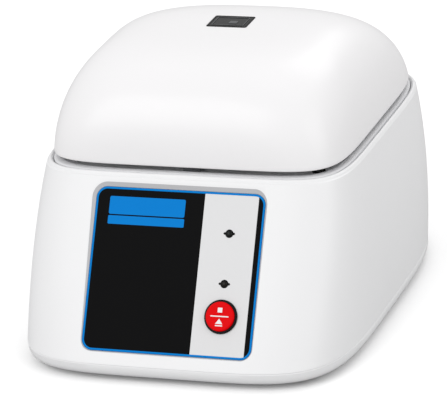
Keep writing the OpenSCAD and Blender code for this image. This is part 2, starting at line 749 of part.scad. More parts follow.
module hinge_brackets() {
    w = arm_w / 2 + gap;
    color("silver") seat() at_hinges() difference() {
        union() {
            block(-w - 4, w + 4, hinge_y - 11.5, hinge_y - 7.5, rim_z - 24.5, rim_z - 4);
            for (s = [-1, 1]) translate([s * (w + 2), 0, 0]) rotate([90, 0, 90]) linear_extrude(4, center = true)
                union() {
                    polygon([[hinge_y - 11.5, rim_z - 14], [hinge_y - 7.5, rim_z - 14], [hinge_y + knuckle_r * 0.8,
                        hinge_z - knuckle_r * 0.6], [hinge_y - knuckle_r * 0.8, hinge_z + knuckle_r * 0.6],
                        [hinge_y - 11.5, rim_z - 1]]);
                    translate([hinge_y, hinge_z]) circle(knuckle_r);
                }
        }
        translate([0, hinge_y, hinge_z]) along_x(hinge_pin_r, 60);
        for (z = [rim_z - 20, rim_z - 10]) translate([0, hinge_y - 9, z]) rotate([90, 0, 0])
            cylinder(r = 1.8, h = 20, center = true);
    }
}

module hinge_pins() {
    color("silver") seat() at_hinges() translate([0, hinge_y, hinge_z]) {
        along_x(hinge_pin_r, arm_w + 2 * gap + 8);
        for (s = [-1, 1]) translate([s * (arm_w / 2 + gap + 4.5), 0, 0]) along_x(hinge_pin_r + 1, 1);
    }
}

module hinge_arms() {
    low = hinge_z - knuckle_r;
    color("silver") seat() at_hinges() difference() {
        union() {
            translate([0, hinge_y, hinge_z]) along_x(knuckle_r, arm_w);
            block(-arm_w / 2, arm_w / 2, hinge_y - 32, hinge_y, low + 0.2, low + 2.6);
            block(-arm_w / 2, arm_w / 2, hinge_y - 32, hinge_y - 18.5, low + 2.6 - eps, liner_z);
        }
        translate([0, hinge_y, hinge_z]) along_x(hinge_pin_r + run_fit, 60);
    }
}

module latch_frame() {
    y = latch_plate_y;
    color("silver") seat() difference() {
        union() {
            block(-frame_left, frame_right, y - 2, y, solenoid_z - 12, deck_under);
            block(-frame_left, frame_right, y - 2, striker_y + 5, deck_under - 2, deck_under);
        }
        block(-10, latch_arm_x - 4, striker_y - 5, striker_y + 6, deck_under - 3, deck_under + 1);
        translate([latch_arm_x, y, latch_z]) rotate([90, 0, 0]) cylinder(r = latch_pin_r, h = 10, center = true);
    }
}

module latch_pin() {
    color("silver") seat() translate([latch_arm_x, latch_plate_y - 2.5, latch_z]) rotate([-90, 0, 0]) {
        cylinder(r = latch_pin_r, h = striker_y - latch_plate_y + 7);
        translate([0, 0, 2.5]) cylinder(r = latch_pin_r + 2, h = striker_y - latch_plate_y - 2.1 - gap);
        translate([0, 0, striker_y - latch_plate_y + 4.6]) cylinder(r = latch_pin_r + 2, h = 1.4);
    }
}

module latch_hook() {
    x = latch_arm_x;
    tip = striker_w / 2 - 2.6;
    color("silver") seat() translate([0, striker_y + 1.7, 0]) rotate([90, 0, 0]) linear_extrude(3.4) difference() {
        union() {
            translate([x, latch_z]) circle(6);
            polygon([[x - 3, latch_z - latch_drop - 4], [x + 3, latch_z - latch_drop - 4], [x + 5, latch_z],
                [x - 5, latch_z]]);
            polygon([[x - 5.6, latch_z - 1], [x + 4, latch_z + 4], [x - 3, latch_nose_z + 2.6],
                [tip + 2.4, latch_nose_z + 2.6], [tip, latch_nose_z - 2.2], [tip, latch_nose_z - 2.8],
                [x - 9, latch_nose_z - 2.8]]);
        }
        translate([x, latch_z]) circle(latch_pin_r + run_fit);
        translate([x, solenoid_z]) circle(1.6);
    }
}

module solenoid_coil() {
    x1 = latch_arm_x - 10;
    color("goldenrod") seat() difference() {
        union() {
            block(x1 - 34, x1 - 30, latch_plate_y, striker_y + 7, solenoid_z - 9, solenoid_z + 9);
            block(x1 - 4, x1, latch_plate_y, striker_y + 7, solenoid_z - 9, solenoid_z + 9);
            translate([x1 - 17, striker_y - 2.5, solenoid_z]) along_x(8, 34);
            block(x1 - 34, x1, latch_plate_y, latch_plate_y + 2.4, solenoid_z - 9, solenoid_z + 9);
        }
        translate([x1 - 10, striker_y, solenoid_z]) along_x(3 + run_fit, 32);
    }
}

module solenoid_plunger() {
    x1 = latch_arm_x - 10;
    color("silver") seat() translate([0, striker_y, solenoid_z]) {
        translate([x1 - 8, 0, 0]) along_x(3, 22);
        difference() {
            block(x1 + 3.8, latch_arm_x + 3, -3.4, 3.4, -3, 3);
            block(latch_arm_x - 4.6, latch_arm_x + 4, -1.7 - gap, 1.7 + gap, -4, 4);
        }
        translate([latch_arm_x, 0, 0]) rotate([90, 0, 0]) cylinder(r = 1.2, h = 6.6, center = true);
    }
}

module lid_switch() {
    color("black") seat() {
        block(-26, -10, latch_plate_y, latch_plate_y + 7, latch_z + 2, latch_z + 13);
        block(-12, -8.4, latch_plate_y + 2, latch_plate_y + 5, latch_z + 9, latch_z + 11);
    }
}

module lid_bumpers() {
    middle = rim_rear_y - top_d / 2;
    color("black") seat() for (x = [-1, 1], y = [-1, 1])
        translate([x * (top_w / 2 - bumper_in), middle + y * (top_d / 2 - bumper_in - 8), deck_z])
            cylinder(r = bumper_r, h = liner_z - deck_z - gap);
}

base_pan();
rubber_feet();
housing();
rim_gasket();
chamber_bowl();
chamber_gasket();
motor_plate();
motor_isolators();
motor_body();
shaft_boot();
drive_shaft();
rotor_hub();
rotor_yoke();
plate_carrier_left();
plate_carrier_right();
rotor_nut();
panel_border();
label_panel();
status_strip();
power_lamp();
rotor_lamp();
button_ring_trim();
stop_button();
button_switch();
control_board();
board_standoffs();
driver_board();
heat_sink();
power_inlet();
inlet_blades();
rocker_frame();
power_rocker();
lid_shell();
lid_liner();
lid_dish();
window_bezel();
lid_window();
port_tube();
lid_striker();
hinge_brackets();
hinge_pins();
hinge_arms();
latch_frame();
latch_pin();
latch_hook();
solenoid_coil();
solenoid_plunger();
lid_switch();
lid_bumpers();
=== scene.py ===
"""Looks of a bench microplate centrifuge: shells, panel, lid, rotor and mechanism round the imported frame."""

import logging
import math
from dataclasses import dataclass, field
from enum import Enum
from typing import Callable, Iterable, Sequence

import bmesh
import bpy
from mathutils import Matrix, Vector

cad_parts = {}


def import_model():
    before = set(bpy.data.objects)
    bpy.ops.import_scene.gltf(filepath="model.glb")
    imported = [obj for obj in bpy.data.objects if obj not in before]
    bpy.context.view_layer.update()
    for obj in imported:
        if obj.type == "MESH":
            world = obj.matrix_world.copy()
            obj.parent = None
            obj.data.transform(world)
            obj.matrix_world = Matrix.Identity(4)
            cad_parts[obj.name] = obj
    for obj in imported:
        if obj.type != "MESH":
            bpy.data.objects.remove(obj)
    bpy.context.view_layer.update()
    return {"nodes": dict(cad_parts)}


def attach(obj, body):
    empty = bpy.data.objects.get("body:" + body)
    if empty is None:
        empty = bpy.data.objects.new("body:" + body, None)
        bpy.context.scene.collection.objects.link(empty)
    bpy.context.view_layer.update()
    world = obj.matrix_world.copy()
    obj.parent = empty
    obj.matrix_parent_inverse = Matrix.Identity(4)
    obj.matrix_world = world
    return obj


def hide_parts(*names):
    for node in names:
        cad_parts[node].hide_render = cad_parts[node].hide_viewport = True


MM = 0.001
TINY = 1e-7
log = logging.getLogger("centrifuge")

Point = tuple[float, float, float]
Ring = list[Point]
# An amount to the left, right, bottom and top
Sides = tuple[float, float, float, float]
# A printed block's width, height, corner radius and middle up the slope
Block = tuple[float, float, float, float]
NO_SPREAD: Sides = (0.0, 0.0, 0.0, 0.0)


def linear(hex_colour: str) -> tuple[float, float, float, float]:
    """Turn an sRGB hex colour into linear RGBA.

    Args:
        hex_colour: six hex digits, such as "F2F2F3".
    Returns:
        The colour as linear red, green, blue and full alpha.
    """
    parts = [int(hex_colour[i:i + 2], 16) / 255 for i in (0, 2, 4)]
    rgb = [c / 12.92 if c <= 0.04045 else ((c + 0.055) / 1.055) ** 2.4 for c in parts]
    return (rgb[0], rgb[1], rgb[2], 1.0)


def add_node(tree: bpy.types.NodeTree, kind: str, attributes: dict | None = None, sockets: dict | None = None,
             links: dict | None = None) -> bpy.types.Node:
    """Add a shader node with its settings and its incoming links.

    Args:
        tree: node tree that receives the node.
        kind: Blender's type name of the node.
        attributes: node attributes to set.
        sockets: input values by socket name or index.
        links: output sockets to join, by input name or index.
    Returns:
        The new node.
    """
    node = tree.nodes.new(kind)
    for key, value in (attributes or {}).items():
        setattr(node, key, value)
    for key, value in (sockets or {}).items():
        node.inputs[key].default_value = value
    for key, source in (links or {}).items():
        tree.links.new(source, node.inputs[key])
    return node


class Pattern(Enum):
    """How a surface's fine relief is laid out."""

    SPARK = "spark eroded mould grain"
    BRUSHED = "straight brushed lines"
    SPUN = "lines turned round the rotor's axis"
    BLAST = "bead blasting"
    SMOOTH = "polished, with faint waves"


@dataclass(frozen=True)
class Finish:
    """One procedural finish, named for its real material and process.

    The relief's grain is a size in millimetres. The real grain of moulds, films and ground metal is 0.02 to
    0.1 mm, too fine to show in the render, so it is drawn at 0.3 mm or more.
    """

    name: str
    colour: str
    roughness: float
    metallic: float = 0.0
    ior: float = 1.5
    coat: float = 0.0
    pattern: Pattern = Pattern.SPARK
    grain_mm: float = 0.5
    relief: float = 0.05
    tone: float = 0.02
    transmission: float = 0.0
    tone_per_metre: float = 28.0
    waves_per_metre: float = 60.0
    rough_spread: float = 0.14
    coat_roughness: float = 0.12

    def build(self) -> bpy.types.Material:
        """Make the material, once.

        Returns:
            The Blender material for this finish.
        """
        if self.name in bpy.data.materials:
            return bpy.data.materials[self.name]
        material = bpy.data.materials.new(self.name)
        material.use_nodes = True
        tree = material.node_tree
        tree.nodes.clear()
        coords = add_node(tree, "ShaderNodeTexCoord")
        field_out = self._relief_field(tree, coords.outputs["Object"])
        tone = add_node(tree, "ShaderNodeTexNoise", sockets={"Scale": self.tone_per_metre, "Detail": 2.0},
                        links={"Vector": coords.outputs["Object"]})
        base = linear(self.colour)
        darker = tuple(c * (1 - self.tone) for c in base[:3]) + (1.0,)
        lighter = tuple(min(c * (1 + self.tone), 1.0) for c in base[:3]) + (1.0,)
        colour = add_node(tree, "ShaderNodeMix", {"data_type": "RGBA"}, {"A": darker, "B": lighter},
                          {"Factor": tone.outputs["Fac"]})
        rough = add_node(tree, "ShaderNodeMapRange",
                         sockets={"To Min": max(self.roughness * (1 - self.rough_spread), 0.02),
                                  "To Max": min(self.roughness * (1 + self.rough_spread), 1.0)},
                         links={"Value": field_out})
        bump = add_node(tree, "ShaderNodeBump",
                        sockets={"Strength": self.relief, "Distance": self.grain_mm * MM},
                        links={"Height": field_out})
        shader = add_node(tree, "ShaderNodeBsdfPrincipled",
                          sockets={"Metallic": self.metallic, "Coat Weight": self.coat,
                                   "Coat Roughness": self.coat_roughness,
                                   "Transmission Weight": self.transmission},
                          links={"Base Color": colour.outputs["Result"], "Roughness": rough.outputs["Result"],
                                 "Normal": bump.outputs["Normal"]})
        if self.metallic < 0.5:
            shader.inputs["IOR"].default_value = self.ior
        add_node(tree, "ShaderNodeOutputMaterial", links={"Surface": shader.outputs["BSDF"]})
        return material

    def _relief_field(self, tree: bpy.types.NodeTree, place: bpy.types.NodeSocket) -> bpy.types.NodeSocket:
        """Lay out the relief of this finish.

        Args:
            tree: the material's node tree.
            place: object coordinates in metres.
        Returns:
            A 0 to 1 height field.
        """
        if self.pattern is Pattern.BRUSHED:
            place = add_node(tree, "ShaderNodeMapping", sockets={"Scale": (0.02, 1.0, 1.0)},
                             links={"Vector": place}).outputs["Vector"]
        if self.pattern is Pattern.SPUN:
            axis = add_node(tree, "ShaderNodeMapping", sockets={"Location": (0.0, -Layout.ROTOR_Y * MM, 0.0)},
                            links={"Vector": place})
            parts = add_node(tree, "ShaderNodeSeparateXYZ", links={"Vector": axis.outputs["Vector"]})
            flat = add_node(tree, "ShaderNodeCombineXYZ",
                            links={"X": parts.outputs["X"], "Y": parts.outputs["Y"]})
            radius = add_node(tree, "ShaderNodeVectorMath", {"operation": "LENGTH"},
                              links={0: flat.outputs["Vector"]})
            place = add_node(tree, "ShaderNodeCombineXYZ", links={"X": radius.outputs["Value"],
                             "Z": parts.outputs["Z"]}).outputs["Vector"]
        detail = 4.0 if self.pattern in (Pattern.SPARK, Pattern.BLAST) else 2.0
        scale = self.waves_per_metre if self.pattern is Pattern.SMOOTH else 1 / (self.grain_mm * MM)
        return add_node(tree, "ShaderNodeTexNoise",
                        sockets={"Scale": scale, "Detail": detail, "Roughness": 0.6},
                        links={"Vector": place}).outputs["Fac"]


class Layout:
    """Sizes and places shared by the pieces, in millimetres, as the frame has them."""

    # Housing: its box at the bench, its rim, and the lean of its front face
    BODY_W = 250.0
    BODY_D = 312.0
    TOP_W = 231.4
    TOP_D = 235.7
    SEAM_Z = 14.0
    RIM_Z = 131.0
    REAR_DRAW = 6.0
    RIM_REAR_Y = BODY_D / 2 - REAR_DRAW
    LEAN = math.atan((RIM_REAR_Y - TOP_D + BODY_D / 2) / (RIM_Z - SEAM_Z))
    WALL = 3.0
    FRONT_WALL = 6.0
    REAR_WALL = 6.5
    DECK_Z = 126.0
    DECK_UNDER = 123.0
    LIP_W = 3.4

    # Lid: distances inside the rim, and heights over the bench
    LID_TOP = 203.0
    LID_Z0 = 135.5
    LID_INSET = 3.0
    LID_EDGE = 4.5
    LID_WALL = 3.0
    LEDGE_Z = 139.7

    # Hinges, and the middles of the whole machine, the rotor and the dome
    HINGE_X = 62.0
    HINGE_BACK = 9.0
    HINGE_Y = RIM_REAR_Y + HINGE_BACK
    KNUCKLE_R = 4.5
    BODY_Y = BODY_D / 2 - (BODY_D / 2 + HINGE_Y + KNUCKLE_R) / 2
    ROTOR_BACK = 4.35
    ROTOR_FROM_MIDDLE = RIM_REAR_Y - TOP_D / 2 + ROTOR_BACK
    ROTOR_Y = ROTOR_FROM_MIDDLE + BODY_Y
    APEX_BACK = 12.0
    APEX_FROM_MIDDLE = ROTOR_FROM_MIDDLE + APEX_BACK
    HOLE_R = 93.4

    # Control panel: its plate, and the button and lamps up the slope from its lower edge
    PANEL_W = 126.6
    PANEL_H = 116.7
    PANEL_Z = 22.5
    PANEL_R = 8.0
    FACE_DEPTH = -1.2
    BUTTON_X = 38.8
    BUTTON_Y = 29.2
    LAMPS_Y = (87.9, 52.4)

    # Rear sockets
    INLET_X = 24.0
    SWITCH_X = -28.0
    SOCKET_Z = 38.0


# Even mould grain that dulls the housing's highlights.
ABS_WHITE = Finish("satin white moulded ABS", "F2F2F3", 0.42, ior=1.5, grain_mm=0.35, relief=0.05, tone=0.006)
# A polished mould: wide soft highlights over the dome, and hardly any texture.
LID_WHITE = Finish("gloss white moulded ABS", "F6F5F6", 0.34, ior=1.5, coat=0.06, pattern=Pattern.SMOOTH,
                   relief=0.01, tone=0.004)
# Plain mould grain on a flat, slightly grey black.
PLAIN_BLACK = Finish("black textured polyamide", "1B1B1D", 0.5, ior=1.53, grain_mm=0.4, relief=0.15,
                     tone=0.08)
# Deep black with a faint reflection at its edges.
GLOSS_BLACK = Finish("black polished acrylic", "080809", 0.35, ior=1.2, pattern=Pattern.SMOOTH, relief=0.01,
                     tone=0.05)
# Matt and slightly uneven, without a highlight.
RUBBER = Finish("black moulded nitrile rubber", "141414", 0.72, ior=1.52, grain_mm=0.8, relief=0.25,
                tone=0.15)
# A soft white that takes the shadow under the lid's edge.
SEAL_WHITE = Finish("white silicone rubber", "E6E6E8", 0.55, ior=1.41, grain_mm=0.8, relief=0.06, tone=0.02)
# A flat mid grey ring round the chamber's mouth.
GREY_RUBBER = Finish("grey silicone rubber", "6B6C6E", 0.6, ior=1.41, grain_mm=0.8, relief=0.15, tone=0.06)
# Turned lines that draw the highlights into rings round the rotor.
BOWL_STEEL = Finish("spun stainless steel", "C9CACC", 0.3, metallic=1.0, pattern=Pattern.SPUN, grain_mm=0.6,
                    relief=0.12, tone=0.04)
# Cool grey metal with a faintly blotched plating.
ZINC = Finish("zinc plated steel", "B4B6B8", 0.36, metallic=1.0, pattern=Pattern.BLAST, grain_mm=1.2,
              relief=0.06, tone=0.09)
# Bright metal with straight grinding lines.
BRIGHT_STEEL = Finish("ground steel", "C2C3C6", 0.22, metallic=1.0, pattern=Pattern.BRUSHED, grain_mm=0.5,
                      relief=0.05, tone=0.04)
# An even satin metal, bead blasted before it was anodised.
ALUMINIUM = Finish("clear anodised aluminium", "BEC0C4", 0.38, metallic=1.0, pattern=Pattern.BLAST,
                   grain_mm=0.35, relief=0.08, tone=0.03)
# Dark blue metal whose brushed lines show through the dye.
BLUE_ALUMINIUM = Finish("blue anodised aluminium", "3F5E8C", 0.36, metallic=1.0, pattern=Pattern.BRUSHED,
                        grain_mm=0.5, relief=0.06, tone=0.05)
# Film printed from behind: a clean strong blue with little glare.
BORDER_BLUE = Finish("blue printed polyester film", "0080D4", 0.5, ior=1.15, grain_mm=0.3, relief=0.02,
                     tone=0.015)
# The same film in black, dull enough to stay dark towards the lamps.
FIELD_BLACK = Finish("black printed polyester film", "0A0A0B", 0.6, ior=1.15, grain_mm=0.3, relief=0.02,
                     tone=0.03)
# The same film in pale grey, a shade darker than the housing.
STRIP_GREY = Finish("pale grey printed polyester film", "E2E2E3", 0.5, ior=1.45, grain_mm=0.3, relief=0.03,
                    tone=0.008)
# Screen inks: flat, slightly grained marks that stand just proud of what they are printed on.
INK_BLACK = Finish("black screen ink", "0A0A0B", 0.6, ior=1.2, grain_mm=0.3, relief=0.04, tone=0.04)
INK_WHITE = Finish("white screen ink", "F2F2F2", 0.5, ior=1.5, grain_mm=0.3, relief=0.04, tone=0.01)
# A strong red cap with a soft highlight.
BUTTON_RED = Finish("red gloss polycarbonate", "E60008", 0.45, ior=1.15, pattern=Pattern.SMOOTH, relief=0.02,
                    tone=0.02)
# Unlit lenses: nearly black, with a trace of their colour.
LENS_GREEN = Finish("dark green lamp lens", "060C08", 0.25, ior=1.3, pattern=Pattern.SMOOTH, relief=0.02,
                    tone=0.05)
LENS_AMBER = Finish("dark amber lamp lens", "0E0904", 0.25, ior=1.3, pattern=Pattern.SMOOTH, relief=0.02,
                    tone=0.05)
# A thin gloss over uneven green, as on a circuit board.
BOARD_GREEN = Finish("green solder mask", "0E4A26", 0.3, ior=1.55, coat=0.2, grain_mm=1.5, relief=0.03,
                     tone=0.12)
# Warm yellow metal, smooth from the lathe.
BRASS = Finish("bright turned brass", "C8A55A", 0.25, metallic=1.0, pattern=Pattern.BLAST, grain_mm=0.4,
               relief=0.04, tone=0.04)
# Reddish metal with lines as of wound wire.
COPPER = Finish("lacquered copper winding", "A5562B", 0.3, metallic=1.0, pattern=Pattern.BRUSHED,
                grain_mm=0.4, relief=0.3, tone=0.1)
# Painted shade: a grey band over the panel's sloped bevel, where shade falls, that sets the panel off from the
# white face.
PAINTED_SHADE_GREY = Finish("pale grey ABS painted as shade", "BFBFC1", 0.5, ior=1.45, grain_mm=0.35, relief=0.04, tone=0.01)
# Dark clear pane with a sharp reflection.
SMOKED = Finish("smoked clear acrylic", "19191A", 0.16, ior=1.22, pattern=Pattern.SMOOTH, relief=0.005,
                tone=0.02, transmission=0.1)
# A thin line that is lighter than the pane round it.
LINE_GREY = Finish("grey polished bevel", "58595B", 0.3, ior=1.3, grain_mm=0.4, relief=0.02, tone=0.03)
# A small dull grey patch on the dark pane.
LENS_GREY = Finish("grey moulded light guide", "646567", 0.5, ior=1.2, grain_mm=0.4, relief=0.04, tone=0.03)
# Matt black that swallows what light comes through the pane.
VOID_BLACK = Finish("black inside of the viewing port", "0C0C0D", 0.7, ior=1.5, grain_mm=0.6, relief=0.1,
                    tone=0.1)


def deselect() -> None:
    """Deselect every object and leave edit mode."""
    if bpy.context.object and bpy.context.object.mode != "OBJECT":
        bpy.ops.object.mode_set(mode="OBJECT")
    bpy.ops.object.select_all(action="DESELECT")


def pick(piece: bpy.types.Object) -> None:
    """Make one piece the only selected and active object.

    Args:
        piece: object to work on.
    """
    deselect()
    piece.select_set(True)
    bpy.context.view_layer.objects.active = piece


def apply_modifier(piece: bpy.types.Object, kind: str, **settings: object) -> None:
    """Add a modifier to a piece and apply it at once.

    Args:
        piece: object that takes the modifier.
        kind: Blender's modifier type.
        settings: modifier attributes.
    """
    pick(piece)
    modifier = piece.modifiers.new(kind.title(), kind)
    for key, value in settings.items():
        setattr(modifier, key, value)
    bpy.ops.object.modifier_apply(modifier=modifier.name)


def select_edges(piece: bpy.types.Object, chosen: Callable[[Vector, Vector], bool]) -> None:
    """Enter edit mode with only the edges selected that a test picks.

    Args:
        piece: mesh object.
        chosen: takes an edge's two ends and says whether it is picked.
    """
    pick(piece)
    bpy.ops.object.mode_set(mode="EDIT")
    bpy.ops.mesh.select_mode(type="EDGE")
    mesh = bmesh.from_edit_mesh(piece.data)
    for edge in mesh.edges:
        edge.select_set(chosen(edge.verts[0].co, edge.verts[1].co))
    bmesh.update_edit_mesh(piece.data)


def finish_piece(piece: bpy.types.Object, name: str, body: str, look: Finish,
                 stands_for: Sequence[str] = (), angle: float = 35.0) -> None:
    """Name a piece, smooth it, give it a finish and let it ride on its body.

    Args:
        piece: finished mesh object at its place.
        name: the piece's name.
        body: CAD body that it rides on.
        look: its finish.
        stands_for: CAD nodes that it replaces.
        angle: largest angle, in degrees, that is shaded smooth.
    """
    pick(piece)
    bpy.ops.object.transform_apply(location=True, rotation=True, scale=True)
    bpy.ops.object.shade_smooth_by_angle(angle=math.radians(angle))
    piece.name = name
    piece.data.name = name
    piece.data.materials.clear()
    piece.data.materials.append(look.build())
    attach(piece, body)
    if stands_for:
        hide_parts(*stands_for)
    log.info("%s rides on %s", name, body)


def mesh_piece(name: str, points: Sequence[Point], faces: Sequence[tuple[int, ...]] = (),
               edges: Sequence[tuple[int, int]] = ()) -> bpy.types.Object:
    """Make an object from points and the faces or edges between them.

    Args:
        name: the object's and the mesh's name.
        points: places in metres.
        faces: point numbers of each face.
        edges: point numbers of each loose edge.
    Returns:
        The new object.
    """
    mesh = bpy.data.meshes.new(name)
    mesh.from_pydata(list(points), list(edges), list(faces))
    mesh.update()
    piece = bpy.data.objects.new(name, mesh)
    bpy.context.scene.collection.objects.link(piece)
    return piece


def band_faces(count: int, rings: int, closed: bool) -> list[tuple[int, ...]]:
    """Join each ring of points to the next with four-sided faces.

    Args:
        count: points in each ring.
        rings: number of rings, one after another.
        closed: whether the last ring joins the first.
    Returns:
        The point numbers of each face.
    """
    faces: list[tuple[int, ...]] = []
    for j in range(rings if closed else rings - 1):
        a, b = j * count, (j + 1) % rings * count
        faces += [(a + i, a + (i + 1) % count, b + (i + 1) % count, b + i) for i in range(count)]
    return faces


def face_outward(piece: bpy.types.Object, merge: float = 0.0) -> None:
    """Turn a closed piece's faces outwards.

    Args:
        piece: mesh object.
        merge: distance in metres under which its points are merged first, or 0 for none.
    """
    pick(piece)
    bpy.ops.object.mode_set(mode="EDIT")
    bpy.ops.mesh.select_all(action="SELECT")
    if merge > 0:
        bpy.ops.mesh.remove_doubles(threshold=merge)
    bpy.ops.mesh.normals_make_consistent(inside=False)
    bpy.ops.object.mode_set(mode="OBJECT")


def rounded_plate(size: tuple[float, float, float], radius: float, soft: float = 0.0,
                  steps: int = 8) -> bpy.types.Object:
    """Model a plate with round corners whose lower face lies on z = 0.

    Args:
        size: width, height and thickness in mm.
        radius: corner radius in mm.
        soft: width in mm of the bevel round its upper face.
        steps: segments of each round corner.
    Returns:
        The plate's object.
    """
    deselect()
    bpy.ops.mesh.primitive_cube_add(size=1, location=(0, 0, size[2] * MM / 2))
    plate = bpy.context.object
    plate.scale = (size[0] * MM, size[1] * MM, size[2] * MM)
    bpy.ops.object.transform_apply(location=True, rotation=False, scale=True)
    if radius > 0:
        select_edges(plate, lambda a, b: abs(a.x - b.x) < TINY and abs(a.y - b.y) < TINY)
        bpy.ops.mesh.bevel(offset=radius * MM, segments=steps, affect="EDGES")
        bpy.ops.object.mode_set(mode="OBJECT")
    if soft > 0:
        top = size[2] * MM - TINY
        select_edges(plate, lambda a, b: a.z > top and b.z > top)
        bpy.ops.mesh.bevel(offset=soft * MM, segments=2, affect="EDGES")
        bpy.ops.object.mode_set(mode="OBJECT")
    return plate


def turned(profile: Sequence[tuple[float, float]], steps: int = 64) -> bpy.types.Object:
    """Spin a half profile round the Z axis, as on a lathe.

    Args:
        profile: (radius, height) pairs in mm from the lower axis end to the upper.
        steps: segments of the full turn.
    Returns:
        The turned object, with its axis on Z.
    """
    deselect()
    piece = mesh_piece("turned", [(r * MM, 0.0, z * MM) for r, z in profile],
                       edges=[(i, i + 1) for i in range(len(profile) - 1)])
    pick(piece)
    bpy.ops.object.mode_set(mode="EDIT")
    bpy.ops.mesh.select_all(action="SELECT")
    bpy.ops.mesh.spin(steps=steps, angle=math.tau, center=(0, 0, 0), axis=(0, 0, 1))
    bpy.ops.object.mode_set(mode="OBJECT")
    face_outward(piece, merge=1e-6)
    return piece


def placed(piece: bpy.types.Object, place: Matrix) -> bpy.types.Object:
    """Move a piece's mesh into place.

    Args:
        piece: object whose own transform is the identity.
        place: matrix from the frame it was drawn in to the machine's frame.
    Returns:
        The same object.
    """
    piece.data.transform(place)
    piece.data.update()
    return piece


def joined(pieces: Sequence[bpy.types.Object]) -> bpy.types.Object:
    """Join several objects into one.

    Args:
        pieces: objects to join.
    Returns:
        The joined object.
    """
    deselect()
    for piece in pieces:
        piece.select_set(True)
    bpy.context.view_layer.objects.active = pieces[0]
    bpy.ops.object.join()
    return bpy.context.object


def cut(piece: bpy.types.Object, tools: Iterable[bpy.types.Object]) -> None:
    """Cut each tool out of a piece and delete the tool.

    Args:
        piece: object that is cut.
        tools: closed objects to take away.
    """
    for tool in tools:
        apply_modifier(piece, "BOOLEAN", operation="DIFFERENCE", solver="EXACT", object=tool)
        bpy.data.objects.remove(tool)


def box_tool(low: Point, high: Point) -> bpy.types.Object:
    """Make a plain box to cut with, between two corners in mm.

    Args:
        low: lowest corner.
        high: highest corner.
    Returns:
        The box's object.
    """
    deselect()
    middle = [(a + b) / 2 * MM for a, b in zip(low, high)]
    bpy.ops.mesh.primitive_cube_add(size=1, location=middle)
    tool = bpy.context.object
    tool.scale = [(b - a) * MM for a, b in zip(low, high)]
    bpy.ops.object.transform_apply(location=True, rotation=True, scale=True)
    return tool


def front_y(z: float) -> float:
    """Say where the front face stands at a height, in mm from the middle of the housing."""
    return -Layout.BODY_D / 2 + math.tan(Layout.LEAN) * (z - Layout.SEAM_Z)


def panel_place(x: float = 0.0, y: float = 0.0, z: float = 0.0) -> Matrix:
    """Give the matrix of a point on the control panel.

    Args:
        x: mm to the right of the panel's middle.
        y: mm up the slope from its lower edge.
        z: mm out of the front face.
    Returns:
        A matrix whose Z leaves the face and whose Y runs up the slope.
    """
    start = Matrix.Translation((0, (front_y(Layout.PANEL_Z) + Layout.BODY_Y) * MM, Layout.PANEL_Z * MM))
    lean = Matrix.Rotation(math.pi / 2 - Layout.LEAN, 4, "X")
    return start @ lean @ Matrix.Translation((x * MM, y * MM, z * MM))


def upright_place(x: float, y: float, z: float) -> Matrix:
    """Give the matrix of a point in the machine's frame, in mm, with nothing turned."""
    return Matrix.Translation((x * MM, y * MM, z * MM))


def rear_place(x: float, y: float, z: float) -> Matrix:
    """Give the matrix of a point on the rear face, Z pointing back and Y up.

    Args:
        x: mm from the middle, to the right as seen from the front.
        y: mm behind the middle of the housing.
        z: mm above the bench.
    Returns:
        The matrix.
    """
    turn = Matrix.Rotation(math.pi, 4, "Z") @ Matrix.Rotation(math.pi / 2, 4, "X")
    return Matrix.Translation((x * MM, (y + Layout.BODY_Y) * MM, z * MM)) @ turn


def recess_outline(spread: Sides, clear: float, arc: int = 12) -> list[tuple[float, float]]:
    """Draw the control panel's round-cornered outline, spread by its own amount on each side.

    Args:
        spread: mm that it grows to the left, right, bottom and top.
        clear: mm that it grows on every side as well.
        arc: segments of each corner.
    Returns:
        Its points in mm on the panel, anticlockwise.
    """
    left, right, low, high = (value + clear for value in spread)
    r = Layout.PANEL_R
    half, top = Layout.PANEL_W / 2 - r, Layout.PANEL_H
    corners = ((half, top - r, right, high, 0), (-half, top - r, left, high, 1), (-half, r, left, low, 2),
               (half, r, right, low, 3))
    out = []
    for cx, cy, gx, gy, quarter in corners:
        for i in range(arc + 1):
            t = math.pi / 2 * (quarter + i / arc)
            out.append((cx + (r + gx) * math.cos(t), cy + (r + gy) * math.sin(t)))
    return out


def recess_loft(levels: Sequence[tuple[float, float]], spread: Sides, clear: float = 0.3) -> bpy.types.Object:
    """Make a closed tool with the panel's outline, spread by a share at each level.

    Args:
        levels: (height out of the face in mm, share of the spread), lowest first.
        spread: mm that the outline grows to the left, right, bottom and top.
        clear: mm that it grows on every side as well.
    Returns:
        The tool, drawn in the panel's own frame.
    """
    points: list[Point] = []
    for z, share in levels:
        outline = recess_outline(tuple(side * share for side in spread), clear)
        points += [(x * MM, y * MM, z * MM) for x, y in outline]
    count = len(points) // len(levels)
    last = (len(levels) - 1) * count
    ends = [tuple(range(count - 1, -1, -1)), tuple(last + i for i in range(count))]
    return mesh_piece("recess_tool", points, band_faces(count, len(levels), closed=False) + ends)


def soft_power(value: float, n: float) -> float:
    """Turn a sine or cosine into a superellipse's coordinate.

    Args:
        value: the sine or cosine.
        n: the outline's roundness, 2 for an ellipse and more for a squarer one.
    Returns:
        The coordinate from -1 to 1.
    """
    return math.copysign(abs(value) ** (2 / n), value) if abs(value) > 1e-9 else 0.0


